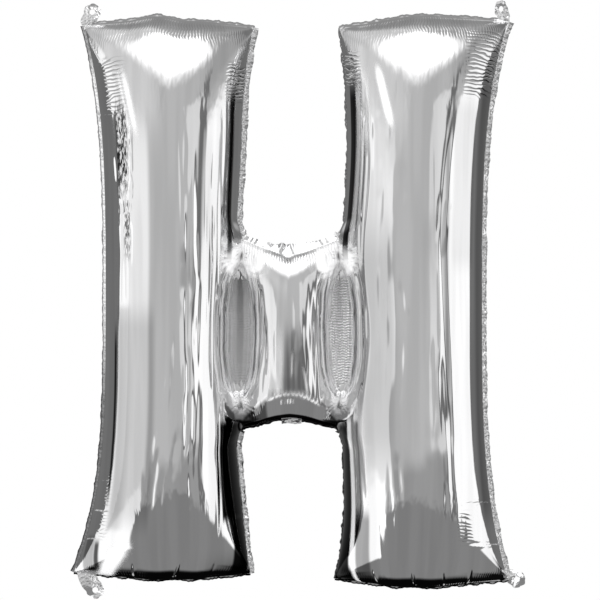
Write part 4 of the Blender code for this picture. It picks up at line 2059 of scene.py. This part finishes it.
@dataclass
class ValveTail:
    """The end of the filling valve: a flat double strip below the crossbar's lower seam."""

    middle: float = -0.0045
    half_width: float = 0.0140
    top: float = -0.1622
    length: float = 0.0088
    thickness: float = 0.5 * MM
    wave: float = 0.7 * MM
    stations: int = 14
    section: int = 22

    def build(self) -> bpy.types.Object:
        """Make the tail as a thin closed strip with a gentle wave and a lean to the front.

        Returns:
            The tail.
        """
        down = np.linspace(0, 1, self.stations)[:, None]
        across, side = walked_section(-1, self.section)
        x = np.broadcast_to(self.middle + self.half_width * across, (len(down), len(across)))
        z = self.top - self.length * down - 0.6 * MM * np.sin(4 * across)
        y = side * self.thickness / 2 + self.wave * np.sin(5 * across + 2 * down) * down - MM * down
        place = np.stack([x, y, z], axis=-1)
        return closed_ribbon("valve_strip", place, place[..., (0, 2)])


@dataclass(frozen=True)
class SoftBox:
    """A soft-edged patch of the studio, by the directions that it fills, in degrees.

    Azimuth is 0 towards the camera and 90 to the right. The patch's lower edge may rise to both
    sides as a cone.
    """

    azimuths: Span
    elevations: Span
    level: float
    soft: Span
    cone: float = 0.0


ALL_ROUND = (-181, 181)
STUDIO_PATCHES = (
    # Walls above: dimmer to the right, lighter to the left, dim behind
    SoftBox((45, 181), (14, 80), 0.37, (24, 12)),
    SoftBox((96, 150), (16, 56), 0.19, (16, 12)),
    SoftBox((-180, -60), (42, 86), 0.66, (16, 10)),
    SoftBox((-181, -124), (6, 46), 0.30, (9, 8)),
    # Lit screens at both sides
    SoftBox((-119, -40), (-16, 14), 0.90, (9, 8)),
    SoftBox((-118, -82), (-16, 10), 1.1, (3, 6)),
    SoftBox((-120, -60), (14, 40), 0.55, (10, 8)),
    SoftBox((-86, -40), (9, 34), 0.72, (8, 8)),
    SoftBox((57, 107), (-34, 9), 1.1, (4, 4)),
    SoftBox((24, 50), (-40, 14), 0.44, (8, 12)),
    SoftBox((22, 46), (-1.2, 17), 0.74, (5, 3)),
    SoftBox((-28, 50), (-26, -6), 0.33, (12, 8)),
    SoftBox((12, 52), (-26, -2.4), 0.33, (14, 6)),
    SoftBox((46, 54), (-40, 24), 0.17, (4, 12)),
    # Overhead light and its glow
    SoftBox((-74, -16), (9, 60), 0.66, (24, 16)),
    SoftBox((-54, 46), (31, 91), 1.6, (26, 16), 0.16),
    SoftBox(ALL_ROUND, (85, 91), 1.0, (1, 4)),
    SoftBox((130, 230), (44, 75), 0.31, (24, 14)),
    SoftBox((150, 214), (10, 62), 0.28, (10, 4)),
    # Floor: grey in front, white at the left, dark behind
    SoftBox(ALL_ROUND, (-91, -18.5), 0.235, (1, 4)),
    SoftBox((100, 181), (-60, -8), 0.004, (16, 3)),
    SoftBox((104, 256), (-67, -48), 0.004, (20, 14)),
    SoftBox((-181, -134), (-62, -8), 0.05, (12, 6)),
    SoftBox((-128, -44), (-50, -9), 1.15, (2.5, 4)),
    # Backdrop
    SoftBox((106, 254), (-8, 10), 0.165, (2, 3)),
    SoftBox((160, 200), (-67, -8), 0.002, (12, 14)),
    # Screens behind, for the back and the sides
    SoftBox((-170, -128), (9, 41), 0.62, (6, 5)),
    SoftBox((-166, -129), (-42, -11), 0.55, (6, 5)),
    SoftBox((132, 174), (8, 37), 0.55, (6, 5)),
    SoftBox((131, 172), (-34, -13), 0.62, (5, 4)),
)


@dataclass
class Studio:
    """Plain pale floor, soft studio light all round and the camera."""

    floor_height: float = -0.95
    floor_half: float = 5.4
    floor_colour: tuple[float, float, float, float] = (0.93, 0.93, 0.93, 1.0)
    camera_distance: float = 5.0
    wall_level: float = 0.50
    haze_level: float = 1.7
    patches: tuple[SoftBox, ...] = STUDIO_PATCHES

    def build(self) -> None:
        """Make the world, the floor and the camera."""
        self.build_world()
        self.build_floor()
        self.build_camera()

    def build_world(self) -> None:
        """The studio as seen in the film: a plain wall with soft patches laid over it in order.

        Camera rays see plain white, as the photograph's background is, and crumpled film is lit
        by a brighter white.
        """
        world = bpy.data.worlds.new("studio")
        bpy.context.scene.world = world
        shader = ShaderTree(world)
        direction = shader.node("ShaderNodeTexCoord", {}, {}, "Generated")
        x, y, z = (shader.part(direction, axis) for axis in range(3))
        elevation = z.math("ARCSINE") * (180 / math.pi)
        azimuth = x.math("ARCTAN2", y * -1) * (180 / math.pi)
        level = self.wall_level
        for patch in self.patches:
            mask = self.patch_mask(patch, azimuth, elevation)
            level = (1 - mask) * level + mask * patch.level
        seen = shader.node("ShaderNodeLightPath", {}, {}, "Is Camera Ray")
        lit = shader.node("ShaderNodeLightPath", {}, {}, "Is Diffuse Ray")
        level = level * (1 - seen.math("MAXIMUM", lit)) + seen.math("MAXIMUM", lit * self.haze_level)
        back = shader.node("ShaderNodeBackground", {}, {"Color": level, "Strength": 1.0})
        shader.node("ShaderNodeOutputWorld", {}, {"Surface": back})

    @staticmethod
    def patch_mask(patch: SoftBox, azimuth: Wire, elevation: Wire) -> Wire:
        """How much of a patch is seen in a direction: 1 inside it, 0 outside, eased at its edge.

        Args:
            patch: the patch.
            azimuth: the direction's azimuth in degrees.
            elevation: its elevation in degrees.

        Returns:
            The mask.
        """
        low, high = patch.azimuths
        centre, half = (low + high) / 2, (high - low) / 2
        turn = abs((azimuth + (540 - centre)).math("FLOORED_MODULO", 360) - 180)
        soft_turn, soft_rise = patch.soft
        mask = turn.ramp(half - soft_turn / 2, half + soft_turn / 2, 1, 0)
        bottom, top = patch.elevations
        lifted = elevation - turn * patch.cone
        mask = mask * lifted.ramp(bottom - soft_rise / 2, bottom + soft_rise / 2)
        return mask * elevation.ramp(top - soft_rise / 2, top + soft_rise / 2, 1, 0)

    def build_floor(self) -> None:
        """A plain pale floor under the balloon, left out of the film's reflections."""
        t = np.linspace(-self.floor_half, self.floor_half, 3)
        x, y = np.meshgrid(t, t)
        points = np.stack([x, y, np.full_like(x, self.floor_height)], axis=-1)
        item = mesh_from_grid("floor", points, points[..., :2], np.array([0, 0, 1]))
        made = bpy.data.materials.new("floor")
        ShaderTree(made).finish({"Base Color": self.floor_colour, "Roughness": 0.9})
        item.data.materials.append(made)
        item.visible_glossy = False

    def build_camera(self) -> None:
        """A long lens straight on, so that the letter lies in the frame as in the photograph."""
        data = bpy.data.cameras.new("camera")
        data.sensor_fit = "HORIZONTAL"
        data.sensor_width = 36.0
        frame_width = FRAME_PIXELS * METRES_PER_PIXEL
        data.lens = data.sensor_width * self.camera_distance / frame_width
        camera = bpy.data.objects.new("camera", data)
        middle = FRAME_PIXELS / 2
        x = (middle - LETTER_MIDDLE_PIXEL[0]) * METRES_PER_PIXEL
        z = (LETTER_MIDDLE_PIXEL[1] - middle) * METRES_PER_PIXEL
        camera.location = (x, -self.camera_distance, z)
        camera.rotation_euler = (math.pi / 2, 0, 0)
        bpy.context.scene.collection.objects.link(camera)
        bpy.context.scene.camera = camera


TABS = (
    HangingTab("tab_top_left", (-0.2846, 0.4075), (-0.2950, 0.3850), 1.0, 1),
    HangingTab("tab_top_right", (0.2900, 0.4120), (0.3020, 0.3880), 0.75, 2),
    HangingTab("tab_bottom_left", (-0.2805, -0.4050), (-0.3000, -0.3760), 1.0, 3),
    HangingTab("tab_bottom_right", (0.3121, -0.3900), (0.2960, -0.3810), 1.0, 4),
)


# Painted shade: the left weld's darker colour and both welds' dimming towards the top stand in for dark
# reflections
LENS_WELDS = (
    (LensWeld(Hand.LEFT, 0.3 * MM, 3.0, 0.5),
     CrumpledFilmFinish("pressed_left", (0.78, 0.78, 0.785), 0.12, 400, 0.25, 0.3, 0.55)),
    (LensWeld(Hand.RIGHT, 0.5 * MM, 4.0, 0.25),
     CrumpledFilmFinish("pressed_right", (0.95, 0.95, 0.955), 0.06, 300, 0.8, 0.6, 0.85)),
)
SMOOTH_MARGINS = ("seam_top", "seam_bottom", "seam_crossbar")


def place_piece(item: bpy.types.Object, finish: bpy.types.Material, node: str) -> None:
    """Give a piece its finish and its body, and hide the CAD node that it stands for.

    Args:
        item: the piece.
        finish: its material.
        node: the CAD node that it replaces.
    """
    item.data.materials.append(finish)
    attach(item, "root")
    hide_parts(node)
    log.info("piece %s: %d vertices", item.name, len(item.data.vertices))


def main() -> None:
    """Build the dressed balloon, class by class, and note its size."""
    logging.basicConfig(level=logging.INFO, format="%(message)s")
    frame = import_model()
    log.info("frame: %d nodes", len(frame["nodes"]))
    bpy.context.scene.view_settings.view_transform = "Standard"
    Studio().build()
    formed = FormedSheet(LetterCut())
    mirror = MirrorFilmFinish().material()
    for sheet in Sheet:
        uprights = [UprightSkin(sheet, hand, detail) for hand, detail in UPRIGHT_DETAILS.items()]
        for skin in (*uprights, CrossbarSkin(sheet)):
            place_piece(skin.build(formed), mirror, skin.node)
    crumpled = CrumpledFilmFinish("crumpled_film").material()
    margin = CrumpledFilmFinish("margin_film", roughness=0.08, crinkle_depth=0.12).material()
    for item, node in Margins().build(formed):
        finish = margin if node.startswith(SMOOTH_MARGINS) else crumpled
        place_piece(item, finish, node)
    for weld, finish in LENS_WELDS:
        node = f"lens_weld_{weld.hand.name.lower()}"
        place_piece(weld.build(formed), finish.material(), node)
    for tab in TABS:
        place_piece(tab.build(), crumpled, tab.node)
    place_piece(ValveTail().build(), crumpled, "valve_tail")


if __name__ == "__main__":
    main()
